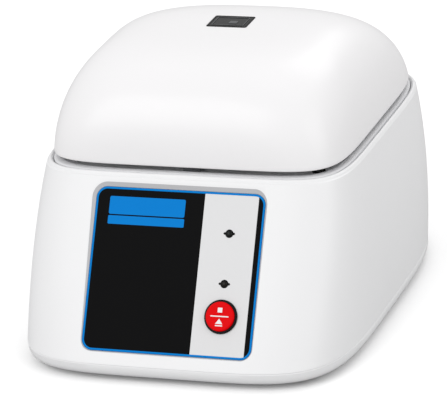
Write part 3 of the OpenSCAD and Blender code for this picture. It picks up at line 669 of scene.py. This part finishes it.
@dataclass
class ShellForm:
    """The moulded outline: rings with a soft square plan that changes from the seam to the rim."""

    points: int = 192
    seam_round: tuple[float, float] = (4.9, 3.8)
    rim_round: tuple[float, float] = (6.8, 5.1)
    wall_over_rim: float = 3.0
    side_draw_power: float = 2.5
    rear_draw_power: float = 2.0
    dome_side_power: float = 1 / 3
    dome_front_power: float = 0.36
    dome_rear_power: float = 0.94
    dome_height_power: float = 1.11

    def share(self, z: float) -> float:
        """Say how far up the wall a height is, from 0 at the seam."""
        return (z - Layout.SEAM_Z) / (Layout.RIM_Z + self.wall_over_rim - Layout.SEAM_Z)

    def half_width(self, z: float) -> float:
        """Give half the housing's width at a height."""
        draw = (Layout.BODY_W - Layout.TOP_W) / 2
        return Layout.BODY_W / 2 - draw * max(self.share(z), 0.0) ** self.side_draw_power

    def back_y(self, z: float) -> float:
        """Give the rear face's distance behind the middle at a height."""
        return Layout.BODY_D / 2 - Layout.REAR_DRAW * max(self.share(z), 0.0) ** self.rear_draw_power

    def roundness(self, z: float) -> tuple[float, float]:
        """Give the plan's roundness in front and behind at a height."""
        k = self.share(z)
        front, rear = (low + (high - low) * k for low, high in zip(self.seam_round, self.rim_round))
        return front, rear

    def face_fall(self, x: float, y: float) -> float:
        """Say how far the front face falls back from its flat middle.

        Args:
            x: mm to the right of the panel's middle.
            y: mm up the slope from the panel's lower edge.
        Returns:
            The fall in mm, square to the face.
        """
        z = Layout.PANEL_Z + y * math.cos(Layout.LEAN)
        depth = (self.back_y(z) - front_y(z)) / 2
        n = self.roundness(z)[0]
        return depth * (1 - (1 - (abs(x) / self.half_width(z)) ** n) ** (1 / n)) * math.cos(Layout.LEAN)

    def ring(self, half: float, yf: float, yr: float, form: tuple[float, float], z: float) -> Ring:
        """Draw one ring.

        Args:
            half: half its width.
            yf: its front.
            yr: its rear.
            form: roundness in front and behind.
            z: its height.
        Returns:
            Its points in metres, in the machine's frame.
        """
        out: Ring = []
        for i in range(self.points):
            t = math.tau * i / self.points
            n = form[0] if math.sin(t) < -1e-9 else form[1]
            y = (yf + yr) / 2 + (yr - yf) / 2 * soft_power(math.sin(t), n) + Layout.BODY_Y
            out.append((half * soft_power(math.cos(t), n) * MM, y * MM, z * MM))
        return out

    def body_ring(self, z: float, side: float, front: float, rear: float) -> Ring:
        """Draw a ring of the housing's wall, drawn in by a wall on each side."""
        return self.ring(self.half_width(z) - side, front_y(z) + front, self.back_y(z) - rear,
                         self.roundness(z), z)

    def rim_ring(self, inset: float, z: float) -> Ring:
        """Draw a ring parallel to the rim.

        Args:
            inset: its distance inside the rim.
            z: its height.
        Returns:
            The ring's points.
        """
        top = Layout.RIM_Z
        return self.ring(self.half_width(top) - inset, front_y(top) + inset, self.back_y(top) - inset,
                         self.roundness(top), z)

    def hole_ring(self, radius: float, z: float) -> Ring:
        """Draw a round ring about the rotor's axis."""
        middle = Layout.ROTOR_FROM_MIDDLE
        return self.ring(radius, middle - radius, middle + radius, (2.0, 2.0), z)

    def pan_ring(self, inset: float, z: float) -> Ring:
        """Draw a ring of the base pan."""
        half_d = Layout.BODY_D / 2
        return self.ring(Layout.BODY_W / 2 - inset, -half_d + inset, half_d - inset, self.seam_round, z)

    def lid_ring(self, k: float, inset: float, z0: float, top: float) -> Ring:
        """Draw a ring of the lid's dome.

        Args:
            k: 0 at its edge to 1 at its top.
            inset: distance inside the rim.
            z0: height of the dome's foot.
            top: height of the dome's top.
        Returns:
            The ring's points.
        """
        c, s = math.cos(k * math.pi / 2), math.sin(k * math.pi / 2)
        rim, apex = Layout.RIM_Z, Layout.APEX_FROM_MIDDLE
        yf, yr = front_y(rim) + inset, self.back_y(rim) - inset
        nf, nr = self.roundness(rim)
        return self.ring((self.half_width(rim) - inset) * c ** self.dome_side_power,
                         apex + (yf - apex) * c ** self.dome_front_power,
                         apex + (yr - apex) * c ** self.dome_rear_power,
                         (nf + (2 - nf) * k, nr + (2 - nr) * k),
                         z0 + (top - z0) * s ** self.dome_height_power)

    def skin(self, name: str, rings: Sequence[Ring], poles: Sequence[Point] = ()) -> bpy.types.Object:
        """Join rings into a closed skin.

        Args:
            name: the new object's name.
            rings: rings in order.
            poles: first and last point, or none where the last ring joins the first.
        Returns:
            The new object.
        """
        n = self.points
        faces = band_faces(n, len(rings), closed=not poles)
        if poles:
            first, last = len(rings) * n, (len(rings) - 1) * n
            faces += [(first, (i + 1) % n, i) for i in range(n)]
            faces += [(first + 1, last + i, last + (i + 1) % n) for i in range(n)]
        return mesh_piece(name, [p for ring in rings for p in ring] + list(poles), faces)


@dataclass
class Housing:
    """The moulded housing with its panel recess, rear recess and openings."""

    form: ShellForm = field(default_factory=ShellForm)
    wall_bands: int = 16
    inner_bands: int = 6
    # The lip's section: distance inside the rim, and height over it
    lip: tuple[tuple[float, float], ...] = (
        (0.12, -1.9), (0.35, -1.2), (0.75, -0.6), (1.2, -0.22), (1.75, 0.0), (2.2, -0.06), (2.7, -0.4),
        (3.1, -0.9), (Layout.LIP_W, -1.7), (Layout.LIP_W + 0.1, -2.6))
    # The panel's recess, and the bevel round it to the left, right, bottom and top
    recess_d: float = 3.0
    bevel_depth: float = 1.3
    bevel: Sides = (4.0, 1.8, 1.0, 3.4)
    bevel_reach: float = 6.0
    # Thickness and clearance of the grey band of painted shade that lines the bevel
    shade_band_t: float = 0.5
    shade_band_clear: float = 0.3
    # How far the painted-shade band's foot stands clear of the plate and over the bevel's foot, and its top
    # over the bevel
    shade_band_foot: tuple[float, float] = (0.25, 0.05)
    shade_band_lift: float = 0.04
    button_hole_r: float = 10.7
    lamp_hole_r: float = 2.2
    # The striker's distance before the chamber's hole, and its slot: half its width, its reach before it
    # and its reach behind it
    striker_gap: float = 9.5
    striker_slot: tuple[float, float, float] = (9.0, 3.9, 2.9)
    # The rear recess: width, height and depth of its tool, and then the tool's place and corners
    rear_recess: tuple[float, float, float] = (106.0, 36.0, 12.0)
    rear_recess_y: float = 152.0
    rear_recess_r: float = 4.0
    inlet_hole: tuple[float, float] = (28.4, 20.4)
    switch_hole: tuple[float, float] = (20.4, 26.4)
    # A hinge's pocket: half its width, its front and rear from the hinge's axis, its foot and its top
    hinge_pocket: tuple[float, float, float, float, float] = (14.0, 11.5, 9.0, 106.0, 136.0)
    tool_reach: float = 20.0

    def build(self) -> None:
        """Build and dress the housing and the grey band of painted shade round its panel."""
        self._shell()
        self._shade_band()

    def _shell(self) -> None:
        """Build the housing's wall and deck, and cut its recesses and openings."""
        f = self.form
        foot, top, under = Layout.SEAM_Z, Layout.RIM_Z + self.lip[-1][1], Layout.DECK_UNDER
        outer = [foot + (top - foot) * k / self.wall_bands for k in range(self.wall_bands + 1)]
        inner = [under - (under - foot) * k / self.inner_bands for k in range(self.inner_bands + 1)]
        rings = [f.body_ring(z, 0, 0, 0) for z in outer]
        rings += [f.rim_ring(inset, Layout.RIM_Z + dz) for inset, dz in self.lip]
        rings += [f.rim_ring(Layout.LIP_W + 0.4, Layout.DECK_Z), f.hole_ring(Layout.HOLE_R, Layout.DECK_Z),
                  f.hole_ring(Layout.HOLE_R, under)]
        rings += [f.body_ring(z, Layout.WALL, Layout.FRONT_WALL, Layout.REAR_WALL) for z in inner]
        shell = f.skin("housing_shell", rings)
        cut(shell, self._front_tools() + self._rear_tools())
        finish_piece(shell, "housing_shell", "machine", ABS_WHITE, ["housing"], angle=28)

    def _front_tools(self) -> list[bpy.types.Object]:
        """Make the tools for the panel's recess, its holes and the striker's slot.

        Returns:
            Closed objects at their places.
        """
        far = self.tool_reach
        deep = recess_loft([(-self.recess_d, 0.0), (far, 0.0)], NO_SPREAD)
        wide = (self.bevel_reach + self.bevel_depth) / self.bevel_depth
        flare = recess_loft([(-self.bevel_depth, 0.0), (self.bevel_reach, wide)], self.bevel)
        tools = [placed(deep, panel_place()), placed(flare, panel_place())]
        holes = [(Layout.BUTTON_Y, self.button_hole_r)] + [(y, self.lamp_hole_r) for y in Layout.LAMPS_Y]
        for y, radius in holes:
            hole = turned([(0, -far), (radius, -far), (radius, far), (0, far)], 48)
            tools.append(placed(hole, panel_place(Layout.BUTTON_X, y)))
        striker_y = Layout.ROTOR_FROM_MIDDLE - Layout.HOLE_R - self.striker_gap + Layout.BODY_Y
        half, before, behind = self.striker_slot
        tools.append(box_tool((-half, striker_y - before, Layout.DECK_UNDER - 1),
                              (half, striker_y + behind, Layout.DECK_Z + 1)))
        return tools

    def _rear_tools(self) -> list[bpy.types.Object]:
        """Make the tools for the rear sockets and the hinges' pockets.

        Returns:
            Closed objects at their places.
        """
        recess = rounded_plate(self.rear_recess, self.rear_recess_r, steps=6)
        tools = [placed(recess, rear_place(0, self.rear_recess_y, Layout.SOCKET_Z))]
        y, z = Layout.BODY_D / 2 + Layout.BODY_Y, Layout.SOCKET_Z
        for x, (w, h) in ((Layout.INLET_X, self.inlet_hole), (Layout.SWITCH_X, self.switch_hole)):
            tools.append(box_tool((x - w / 2, y - self.tool_reach, z - h / 2),
                                  (x + w / 2, y + self.tool_reach, z + h / 2)))
        y = Layout.HINGE_Y + Layout.BODY_Y
        half, before, behind, foot, top = self.hinge_pocket
        for x in (-Layout.HINGE_X, Layout.HINGE_X):
            tools.append(box_tool((x - half, y - before, foot), (x + half, y + behind, top)))
        return tools

    def _shade_band(self) -> None:
        """Line the sloped edge round the control panel with a grey band of painted shade over its bevel."""
        foot = recess_outline(NO_SPREAD, self.shade_band_clear)
        clear, lift = self.shade_band_foot
        low = [Vector((x, y, lift - self.bevel_depth)) for x, y in recess_outline(NO_SPREAD, clear)]
        back = [Vector((x, y, -self.bevel_depth - self.shade_band_t)) for x, y in foot]
        high = []
        for (x0, y0), (x1, y1) in zip(foot, recess_outline(self.bevel, self.shade_band_clear)):
            fall = self.form.face_fall(x1, y1)
            k = 1 - fall / self.bevel_depth
            high.append(Vector((x0 + (x1 - x0) * k, y0 + (y1 - y0) * k, self.shade_band_lift - fall)))
        behind = [p - Vector((0, 0, self.shade_band_t)) for p in high]
        points = [tuple(p * MM) for ring in (low, high, behind, back) for p in ring]
        # Painted shade: a grey band laid on the bevel round the panel, where shade falls
        shade_band = mesh_piece("recess_shade_band", points, band_faces(len(low), 4, closed=True))
        face_outward(shade_band)
        finish_piece(placed(shade_band, panel_place()), "recess_shade_band", "machine", PAINTED_SHADE_GREY)


@dataclass
class BasePan:
    """The moulded base pan with its vents under the motor."""

    form: ShellForm = field(default_factory=ShellForm)
    # The pan's section from its underside round its edge to its floor: distance inside, and height
    section: tuple[tuple[float, float], ...] = (
        (7, 4), (5, 4.15), (3.4, 4.7), (2.1, 5.5), (1.2, 6.6), (0.5, 8.2), (0.15, 10), (0, 12.9), (0.3, 13.5),
        (0.9, 14), (4, 14), (5, 9.6), (8, 6.6))
    vents: int = 9
    vent_pitch: float = 9.0
    vent: tuple[float, float] = (4.0, 44.0)
    vent_top: float = 9.0

    def build(self) -> None:
        """Build the pan and cut its vents."""
        poles = [(0, 0, z * MM) for z in (self.section[0][1], self.section[-1][1])]
        pan = self.form.skin("base_tray", [self.form.pan_ring(inset, z) for inset, z in self.section], poles)
        width, length = self.vent
        tools = []
        for i in range(self.vents):
            x, y = (i - self.vents // 2) * self.vent_pitch, Layout.ROTOR_Y
            tools.append(box_tool((x - width / 2, y - length / 2, 0),
                                  (x + width / 2, y + length / 2, self.vent_top)))
        cut(pan, tools)
        finish_piece(pan, "base_tray", "machine", ABS_WHITE, ["base_pan"], angle=30)


@dataclass
class RimSeal:
    """The soft seal on the deck, under the lid's edge."""

    form: ShellForm = field(default_factory=ShellForm)
    inner: float = Layout.LIP_W + 0.5
    outer: float = 9.8
    top: float = Layout.RIM_Z + 0.3
    # The gap at each hinge: half its width, and its reach before the hinge's axis
    gap: tuple[float, float] = (15.0, 20.0)

    def build(self) -> None:
        """Build the seal and clear it at the hinges."""
        inner, outer, top = self.inner, self.outer, self.top
        section = [(inner, Layout.DECK_Z), (inner, top - 1.0), (inner + 0.4, top - 0.4),
                   (inner + 1.2, top - 0.1), (outer - 2.4, top), (outer - 0.8, top - 0.2), (outer, top - 1.0),
                   (outer, Layout.DECK_Z)]
        seal = self.form.skin("rim_seal", [self.form.rim_ring(inset, z) for inset, z in section])
        y = Layout.HINGE_Y + Layout.BODY_Y
        half, before = self.gap
        cut(seal, [box_tool((x - half, y - before, Layout.RIM_Z - 1), (x + half, y, Layout.RIM_Z + 9))
                   for x in (-Layout.HINGE_X, Layout.HINGE_X)])
        finish_piece(seal, "rim_seal", "machine", SEAL_WHITE, ["rim_gasket"])


@dataclass
class Lid:
    """The domed lid with the fine parts of its viewing window."""

    form: ShellForm = field(default_factory=ShellForm)
    window: tuple[float, float] = (30.8, 23.0)
    bezel_w: float = 2.2
    bezel_r: float = 1.6
    bezel_d: float = 1.4
    # The pane's line: how far its outer and inner edge stand inside the window's size, in all
    line: tuple[float, float] = (6.4, 7.3)
    guide: tuple[float, float, float] = (6.2, 5.0, 0.5)
    guide_place: tuple[float, float] = (2.7, -2.0)
    cut_d: float = 20.0
    # Shares of the dome's curve at which its rings stand: inside from the top, and outside from the edge in
    # even steps and then close to the top
    inside_at: tuple[float, ...] = (0.96, 0.90, 0.82, 0.72, 0.60, 0.48, 0.36, 0.24, 0.12, 0.05)
    outside_at: tuple[float, ...] = tuple(k / 40 for k in range(37)) + (0.94, 0.97, 0.985)

    def build(self) -> None:
        """Build the lid's shell and the window's fine parts."""
        self._dome()
        self._pane_line()
        self._light_guide()

    def _dome(self) -> None:
        """Build the domed shell and cut the window's seat and opening."""
        f = self.form
        low, lip = Layout.LID_INSET + Layout.LID_WALL, Layout.LID_EDGE
        ledge, foot = Layout.LEDGE_Z, Layout.LID_Z0
        inside_top = Layout.LID_TOP - Layout.LID_WALL
        inside = [f.lid_ring(k, low, ledge + 0.5, inside_top) for k in self.inside_at]
        section = [(low + 2.2, ledge + 2.2), (low + 2.2, ledge), (low, ledge), (low, foot + 0.6),
                   (low - 0.15, foot + 0.1), (lip + 0.8, foot), (lip + 0.35, foot + 0.2),
                   (lip + 0.08, foot + 0.7)]
        edge = [f.rim_ring(inset, z) for inset, z in section]
        outside = [f.lid_ring(k, lip, foot + 1.4, Layout.LID_TOP) for k in self.outside_at]
        apex = (Layout.APEX_FROM_MIDDLE + Layout.BODY_Y) * MM
        dome = f.skin("lid_dome", inside + edge + outside,
                      [(0, apex, inside_top * MM), (0, apex, Layout.LID_TOP * MM)])
        w, length = self.window
        opening = rounded_plate((w - 2 * self.bezel_w, length - 2 * self.bezel_w, self.cut_d), 1)
        placed(opening, upright_place(0, Layout.ROTOR_Y, Layout.LID_TOP - self.cut_d / 2))
        seat = rounded_plate((w + 0.2, length + 0.2, self.cut_d), self.bezel_r)
        placed(seat, upright_place(0, Layout.ROTOR_Y, Layout.LID_TOP - self.bezel_d))
        cut(dome, [opening, seat])
        finish_piece(dome, "lid_dome", "lid", LID_WHITE, ["lid_shell"], angle=40)

    def _pane_line(self) -> None:
        """Add the thin bevelled line round the pane."""
        w, length = self.window
        outer, inner = self.line
        line = rounded_plate((w - outer, length - outer, 0.4), 0.4, steps=2)
        hollow = rounded_plate((w - inner, length - inner, 2.0), 0.3, steps=2)
        cut(line, [placed(hollow, upright_place(0, 0, -0.5))])
        placed(line, upright_place(0, Layout.ROTOR_Y, Layout.LID_TOP + 0.15))
        finish_piece(line, "window_line", "lid", LINE_GREY)

    def _light_guide(self) -> None:
        """Add the small light guide on the pane."""
        x, y = self.guide_place
        guide = placed(rounded_plate(self.guide, 0.8, soft=0.2),
                       upright_place(x, Layout.ROTOR_Y + y, Layout.LID_TOP + 0.1))
        finish_piece(guide, "window_light_guide", "lid", LENS_GREY)


@dataclass
class ControlPanel:
    """Printed marks on the label panel and the stop button, placed in mm up the slope."""

    mark_h: float = 0.12
    header: tuple[Block, ...] = ((57.0, 12.8, 1.2, 103.7), (57.4, 6.1, 0.8, 93.3))
    header_x: float = -24.4
    lamp_ring: tuple[float, float] = (2.1, 3.0)
    tick: float = 1.5
    tick_x: float = 3.4
    cap_h: float = 3.46
    # The button's bar, square and foot, and its arrow: width, height and middle up the slope
    bars: tuple[Block, ...] = ((13.4, 0.8, 0.3, 29.2), (3.4, 3.4, 0.3, 33.6), (5.4, 0.8, 0.2, 22.6))
    arrow: tuple[float, float, float] = (5.4, 3.6, 25.6)
    arrow_tip: float = 0.04

    def build(self) -> None:
        """Build the header block, the lamp marks and the button's marks."""
        self._header()
        self._lamp_marks()
        self._button_marks()

    def _mark(self, block: Block, x: float, face: float) -> bpy.types.Object:
        """Print one plain block.

        Args:
            block: its width, height, corner radius and middle up the slope.
            x: its middle, to the right of the panel's.
            face: how far out of the front face it lies.
        Returns:
            The block at its place.
        """
        w, h, r, y = block
        return placed(rounded_plate((w, h, self.mark_h), r), panel_place(x, y, face))

    def _header(self) -> None:
        """Print the two plain blocks at the head of the panel."""
        blocks = [self._mark(block, self.header_x, Layout.FACE_DEPTH) for block in self.header]
        finish_piece(joined(blocks), "header_block", "machine", BORDER_BLUE)

    def _lamp_marks(self) -> None:
        """Print a ring round each lamp and a pointed tick on both sides of it."""
        inner, outer = self.lamp_ring
        turn = Matrix.Rotation(math.pi / 4, 4, "Z")
        marks = []
        for y in Layout.LAMPS_Y:
            section = [(inner, 0), (outer, 0), (outer, self.mark_h), (inner, self.mark_h), (inner, 0)]
            ring = turned(section, 40)
            marks.append(placed(ring, panel_place(Layout.BUTTON_X, y, Layout.FACE_DEPTH)))
            for x in (Layout.BUTTON_X - self.tick_x, Layout.BUTTON_X + self.tick_x):
                tick = rounded_plate((self.tick, self.tick, self.mark_h), 0.1, steps=1)
                marks.append(placed(tick, panel_place(x, y, Layout.FACE_DEPTH) @ turn))
        finish_piece(joined(marks), "lamp_marks", "machine", INK_BLACK)

    def _button_marks(self) -> None:
        """Print a bar, a stop square and an opening arrow over its foot on the button's cap."""
        face = Layout.FACE_DEPTH + self.cap_h
        bar, square, foot = (self._mark(block, Layout.BUTTON_X, face) for block in self.bars)
        w, h, y = self.arrow
        arrow = rounded_plate((w, h, self.mark_h), 0.0)
        for vertex in arrow.data.vertices:
            if vertex.co.y > 0:
                vertex.co.x *= self.arrow_tip
        placed(arrow, panel_place(Layout.BUTTON_X, y, face))
        finish_piece(joined([bar, square, arrow, foot]), "button_marks", "button", INK_WHITE)


@dataclass
class Fasteners:
    """Cross-head screws, modelled once and copied."""

    head_r: float = 2.6
    # The head's section: a share of its radius, and a height in mm
    head: tuple[tuple[float, float], ...] = (
        (0, -0.4), (1, -0.4), (1, 0.5), (0.86, 1.1), (0.5, 1.5), (0, 1.6))
    cross: tuple[float, float] = (1.7, 0.32)
    hinge_screw_in: float = 7.5
    hinge_screws_z: tuple[float, float] = (111.0, 121.0)
    inlet_screw_x: float = 20.0
    base_screws: tuple[float, float] = (70.0, 110.0)
    base_z: float = 4.0

    def build(self) -> None:
        """Place the screws on the rear face and the underside."""
        y, z = Layout.HINGE_Y - self.hinge_screw_in, Layout.SOCKET_Z
        rear = [rear_place(x, y, up) for x in (-Layout.HINGE_X, Layout.HINGE_X) for up in self.hinge_screws_z]
        rear += [rear_place(Layout.INLET_X + x, Layout.BODY_D / 2 - 2, z)
                 for x in (-self.inlet_screw_x, self.inlet_screw_x)]
        self._set("rear_screws", rear, "machine")
        x, y = self.base_screws
        down = Matrix.Rotation(math.pi, 4, "X")
        under = [upright_place(sx * x, Layout.BODY_Y + sy * y, self.base_z) @ down
                 for sx in (-1, 1) for sy in (-1, 1)]
        self._set("base_screws", under, "machine", sink=0.2)

    def _head(self) -> bpy.types.Object:
        """Model one domed head with its cross recess.

        Returns:
            The head, on the origin.
        """
        head = turned([(share * self.head_r, z) for share, z in self.head], 28)
        long, short = self.cross
        cut(head, [box_tool((-x, -y, 0.8), (x, y, 3)) for x, y in ((long, short), (short, long))])
        return head

    def _set(self, name: str, places: Sequence[Matrix], body: str, sink: float = 0.0) -> None:
        """Copy the head to each place as one piece.

        Args:
            name: the piece's name.
            places: one matrix for each screw.
            body: body that carries them.
            sink: mm that the heads stand lower.
        """
        first = self._head()
        copies = []
        for place in places:
            copy = first.copy()
            copy.data = first.data.copy()
            bpy.context.scene.collection.objects.link(copy)
            copies.append(placed(copy, place @ Matrix.Translation((0, 0, -sink * MM))))
        bpy.data.objects.remove(first)
        finish_piece(joined(copies), name, body, ZINC)


@dataclass
class CadDress:
    """Finishes for the nodes that keep their CAD shape."""

    looks: dict[str, Finish] = field(default_factory=lambda: {
        "rubber_feet": RUBBER, "chamber_bowl": BOWL_STEEL, "chamber_gasket": GREY_RUBBER,
        "motor_plate": ZINC, "motor_isolators": RUBBER, "motor_body": ALUMINIUM, "shaft_boot": RUBBER,
        "drive_shaft": BRIGHT_STEEL, "rotor_hub": BRIGHT_STEEL, "rotor_yoke": ALUMINIUM,
        "plate_carrier_left": BLUE_ALUMINIUM, "plate_carrier_right": BLUE_ALUMINIUM,
        "rotor_nut": PLAIN_BLACK, "panel_border": BORDER_BLUE, "label_panel": FIELD_BLACK,
        "status_strip": STRIP_GREY, "power_lamp": LENS_GREEN, "rotor_lamp": LENS_AMBER,
        "button_ring_trim": GLOSS_BLACK, "stop_button": BUTTON_RED, "button_switch": PLAIN_BLACK,
        "control_board": BOARD_GREEN, "board_standoffs": BRASS, "driver_board": BOARD_GREEN,
        "heat_sink": ALUMINIUM, "power_inlet": PLAIN_BLACK, "inlet_blades": BRIGHT_STEEL,
        "rocker_frame": PLAIN_BLACK, "power_rocker": PLAIN_BLACK, "lid_liner": ABS_WHITE,
        "lid_dish": ABS_WHITE, "window_bezel": GLOSS_BLACK, "lid_window": SMOKED, "port_tube": VOID_BLACK,
        "lid_striker": BRIGHT_STEEL, "hinge_brackets": ZINC, "hinge_pins": BRIGHT_STEEL,
        "hinge_arms": ZINC, "latch_frame": ZINC, "latch_pin": BRIGHT_STEEL, "latch_hook": BRIGHT_STEEL,
        "solenoid_coil": COPPER, "solenoid_plunger": BRIGHT_STEEL, "lid_switch": PLAIN_BLACK,
        "lid_bumpers": RUBBER})
    # Width in mm of the rounding along each node's edges
    soft_edges: dict[str, float] = field(default_factory=lambda: {
        "rotor_yoke": 0.4, "plate_carrier_left": 0.35, "plate_carrier_right": 0.35, "rotor_nut": 0.6,
        "power_inlet": 0.5, "rocker_frame": 0.4, "power_rocker": 0.4, "lid_liner": 0.6, "window_bezel": 0.25,
        "hinge_brackets": 0.4, "hinge_arms": 0.4, "lid_striker": 0.3, "panel_border": 0.3, "lid_bumpers": 0.6,
        "rubber_feet": 0.3, "stop_button": 0.2})
    bevel_from: float = 40.0
    crisp_from: float = 32.0

    def build(self, nodes: dict[str, bpy.types.Object]) -> None:
        """Dress each node.

        Args:
            nodes: the frame's CAD objects by name.
        """
        for name, look in self.looks.items():
            node = nodes[name]
            node.data.materials.clear()
            node.data.materials.append(look.build())
            for face in node.data.polygons:
                face.use_smooth = True
            weld = node.modifiers.new("Weld", "WELD")
            weld.merge_threshold = 1e-5
            if name in self.soft_edges:
                bevel = node.modifiers.new("Soft edges", "BEVEL")
                bevel.width = self.soft_edges[name] * MM
                bevel.segments = 2
                bevel.limit_method = "ANGLE"
                bevel.angle_limit = math.radians(self.bevel_from)
            split = node.modifiers.new("Crisp edges", "EDGE_SPLIT")
            split.split_angle = math.radians(self.crisp_from)
            log.info("%s dressed as %s", name, look.name)


@dataclass(frozen=True)
class Lamp:
    """One soft area lamp: its place and width in metres, and its power in watts."""

    name: str
    place: Point
    size: float
    watts: float

    def hang(self, target: Point) -> None:
        """Hang the lamp in the scene.

        Args:
            target: the point that it faces, in metres.
        """
        data = bpy.data.lights.new(self.name, "AREA")
        data.size = self.size
        data.energy = self.watts
        lamp = bpy.data.objects.new(self.name, data)
        lamp.location = self.place
        lamp.rotation_euler = (Vector(target) - Vector(self.place)).to_track_quat("-Z", "Y").to_euler()
        bpy.context.scene.collection.objects.link(lamp)


@dataclass
class Studio:
    """A pale floor, soft lamps and the camera at the photograph's place."""

    azimuth: float = 21.2
    elevation: float = 21.81
    roll: float = 5.1
    distance: float = 2591.0
    shift_right: float = 0.65
    shift_up: float = 29.64
    focal_px: float = 3565.6
    frame_px: float = 448.0
    sensor_mm: float = 36.0
    aim: Point = (0.0, Layout.BODY_Y, 110.0)
    # The floor's tone to the camera and to the object, and the light from all round
    floor_shown: float = 1.17
    floor_bounce: float = 0.55
    floor_m: float = 14.0
    sky: float = 0.735
    lamps: tuple[Lamp, ...] = (
        Lamp("key_lamp", (-0.9, -1.7, 1.5), 1.5, 14.5), Lamp("fill_lamp", (1.95, -0.85, 1.15), 1.6, 9.0),
        Lamp("rear_lamp", (0.4, 1.5, 1.5), 1.2, 6.5))
    lamp_target: Point = (0.0, 0.0, 0.1)

    def build(self) -> None:
        """Build the floor, the world, the lamps and the camera."""
        self._camera()
        self._floor()
        self._world()
        for lamp in self.lamps:
            lamp.hang(self.lamp_target)
        bpy.context.scene.view_settings.view_transform = "Standard"

    def _camera(self) -> None:
        """Place the camera from its angles in degrees, its distance and its shifts in mm."""
        a, e, r = (math.radians(v) for v in (self.azimuth, self.elevation, self.roll))
        right = Vector((math.cos(a), math.sin(a), 0))
        up = Vector((-math.sin(a) * math.sin(e), math.cos(a) * math.sin(e), math.cos(e)))
        back = Vector((math.sin(a) * math.cos(e), -math.cos(a) * math.cos(e), math.sin(e)))
        rolled_right = math.cos(r) * right - math.sin(r) * up
        rolled_up = math.sin(r) * right + math.cos(r) * up
        eye = Vector(self.aim) + self.distance * back
        eye -= self.shift_right * rolled_right + self.shift_up * rolled_up
        data = bpy.data.cameras.new("camera")
        data.sensor_width = self.sensor_mm
        data.sensor_fit = "HORIZONTAL"
        data.lens = self.focal_px / self.frame_px * self.sensor_mm
        data.clip_end = 50.0
        camera = bpy.data.objects.new("camera", data)
        rotation = Matrix((rolled_right, rolled_up, back)).transposed().to_4x4()
        camera.matrix_world = Matrix.Translation(eye * MM) @ rotation
        bpy.context.scene.collection.objects.link(camera)
        bpy.context.scene.camera = camera

    def _floor(self) -> None:
        """Lay a pale floor that shows white to the camera and keeps the shadow."""
        deselect()
        bpy.ops.mesh.primitive_plane_add(size=self.floor_m, location=(0, 0, 0))
        floor = bpy.context.object
        floor.name = "floor"
        material = bpy.data.materials.new("white paper sweep")
        material.use_nodes = True
        tree = material.node_tree
        tree.nodes.clear()
        path = add_node(tree, "ShaderNodeLightPath")
        shown = (self.floor_shown,) * 3 + (1.0,)
        lit = (self.floor_bounce,) * 3 + (1.0,)
        tone = add_node(tree, "ShaderNodeMix", {"data_type": "RGBA"}, {"A": lit, "B": shown},
                        {"Factor": path.outputs["Is Camera Ray"]})
        paper = add_node(tree, "ShaderNodeBsdfDiffuse", links={"Color": tone.outputs["Result"]})
        add_node(tree, "ShaderNodeOutputMaterial", links={"Surface": paper.outputs["BSDF"]})
        floor.data.materials.append(material)

    def _world(self) -> None:
        """Light the scene softly from all round, and show white behind it."""
        world = bpy.data.worlds.new("soft studio")
        bpy.context.scene.world = world
        world.use_nodes = True
        tree = world.node_tree
        tree.nodes.clear()
        path = add_node(tree, "ShaderNodeLightPath")
        strength = add_node(tree, "ShaderNodeMapRange", sockets={"To Min": self.sky, "To Max": 1.0},
                            links={"Value": path.outputs["Is Camera Ray"]})
        sky = add_node(tree, "ShaderNodeBackground", sockets={"Color": (1, 1, 1, 1)},
                       links={"Strength": strength.outputs["Result"]})
        add_node(tree, "ShaderNodeOutputWorld", links={"Surface": sky.outputs["Background"]})


def main() -> None:
    """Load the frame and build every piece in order."""
    logging.basicConfig(level=logging.INFO, format="%(name)s: %(message)s")
    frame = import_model()
    deselect()
    for assembly in (Studio(), Housing(), BasePan(), RimSeal(), Lid(), ControlPanel(), Fasteners()):
        assembly.build()
    CadDress().build(frame["nodes"])


if __name__ == "__main__":
    main()
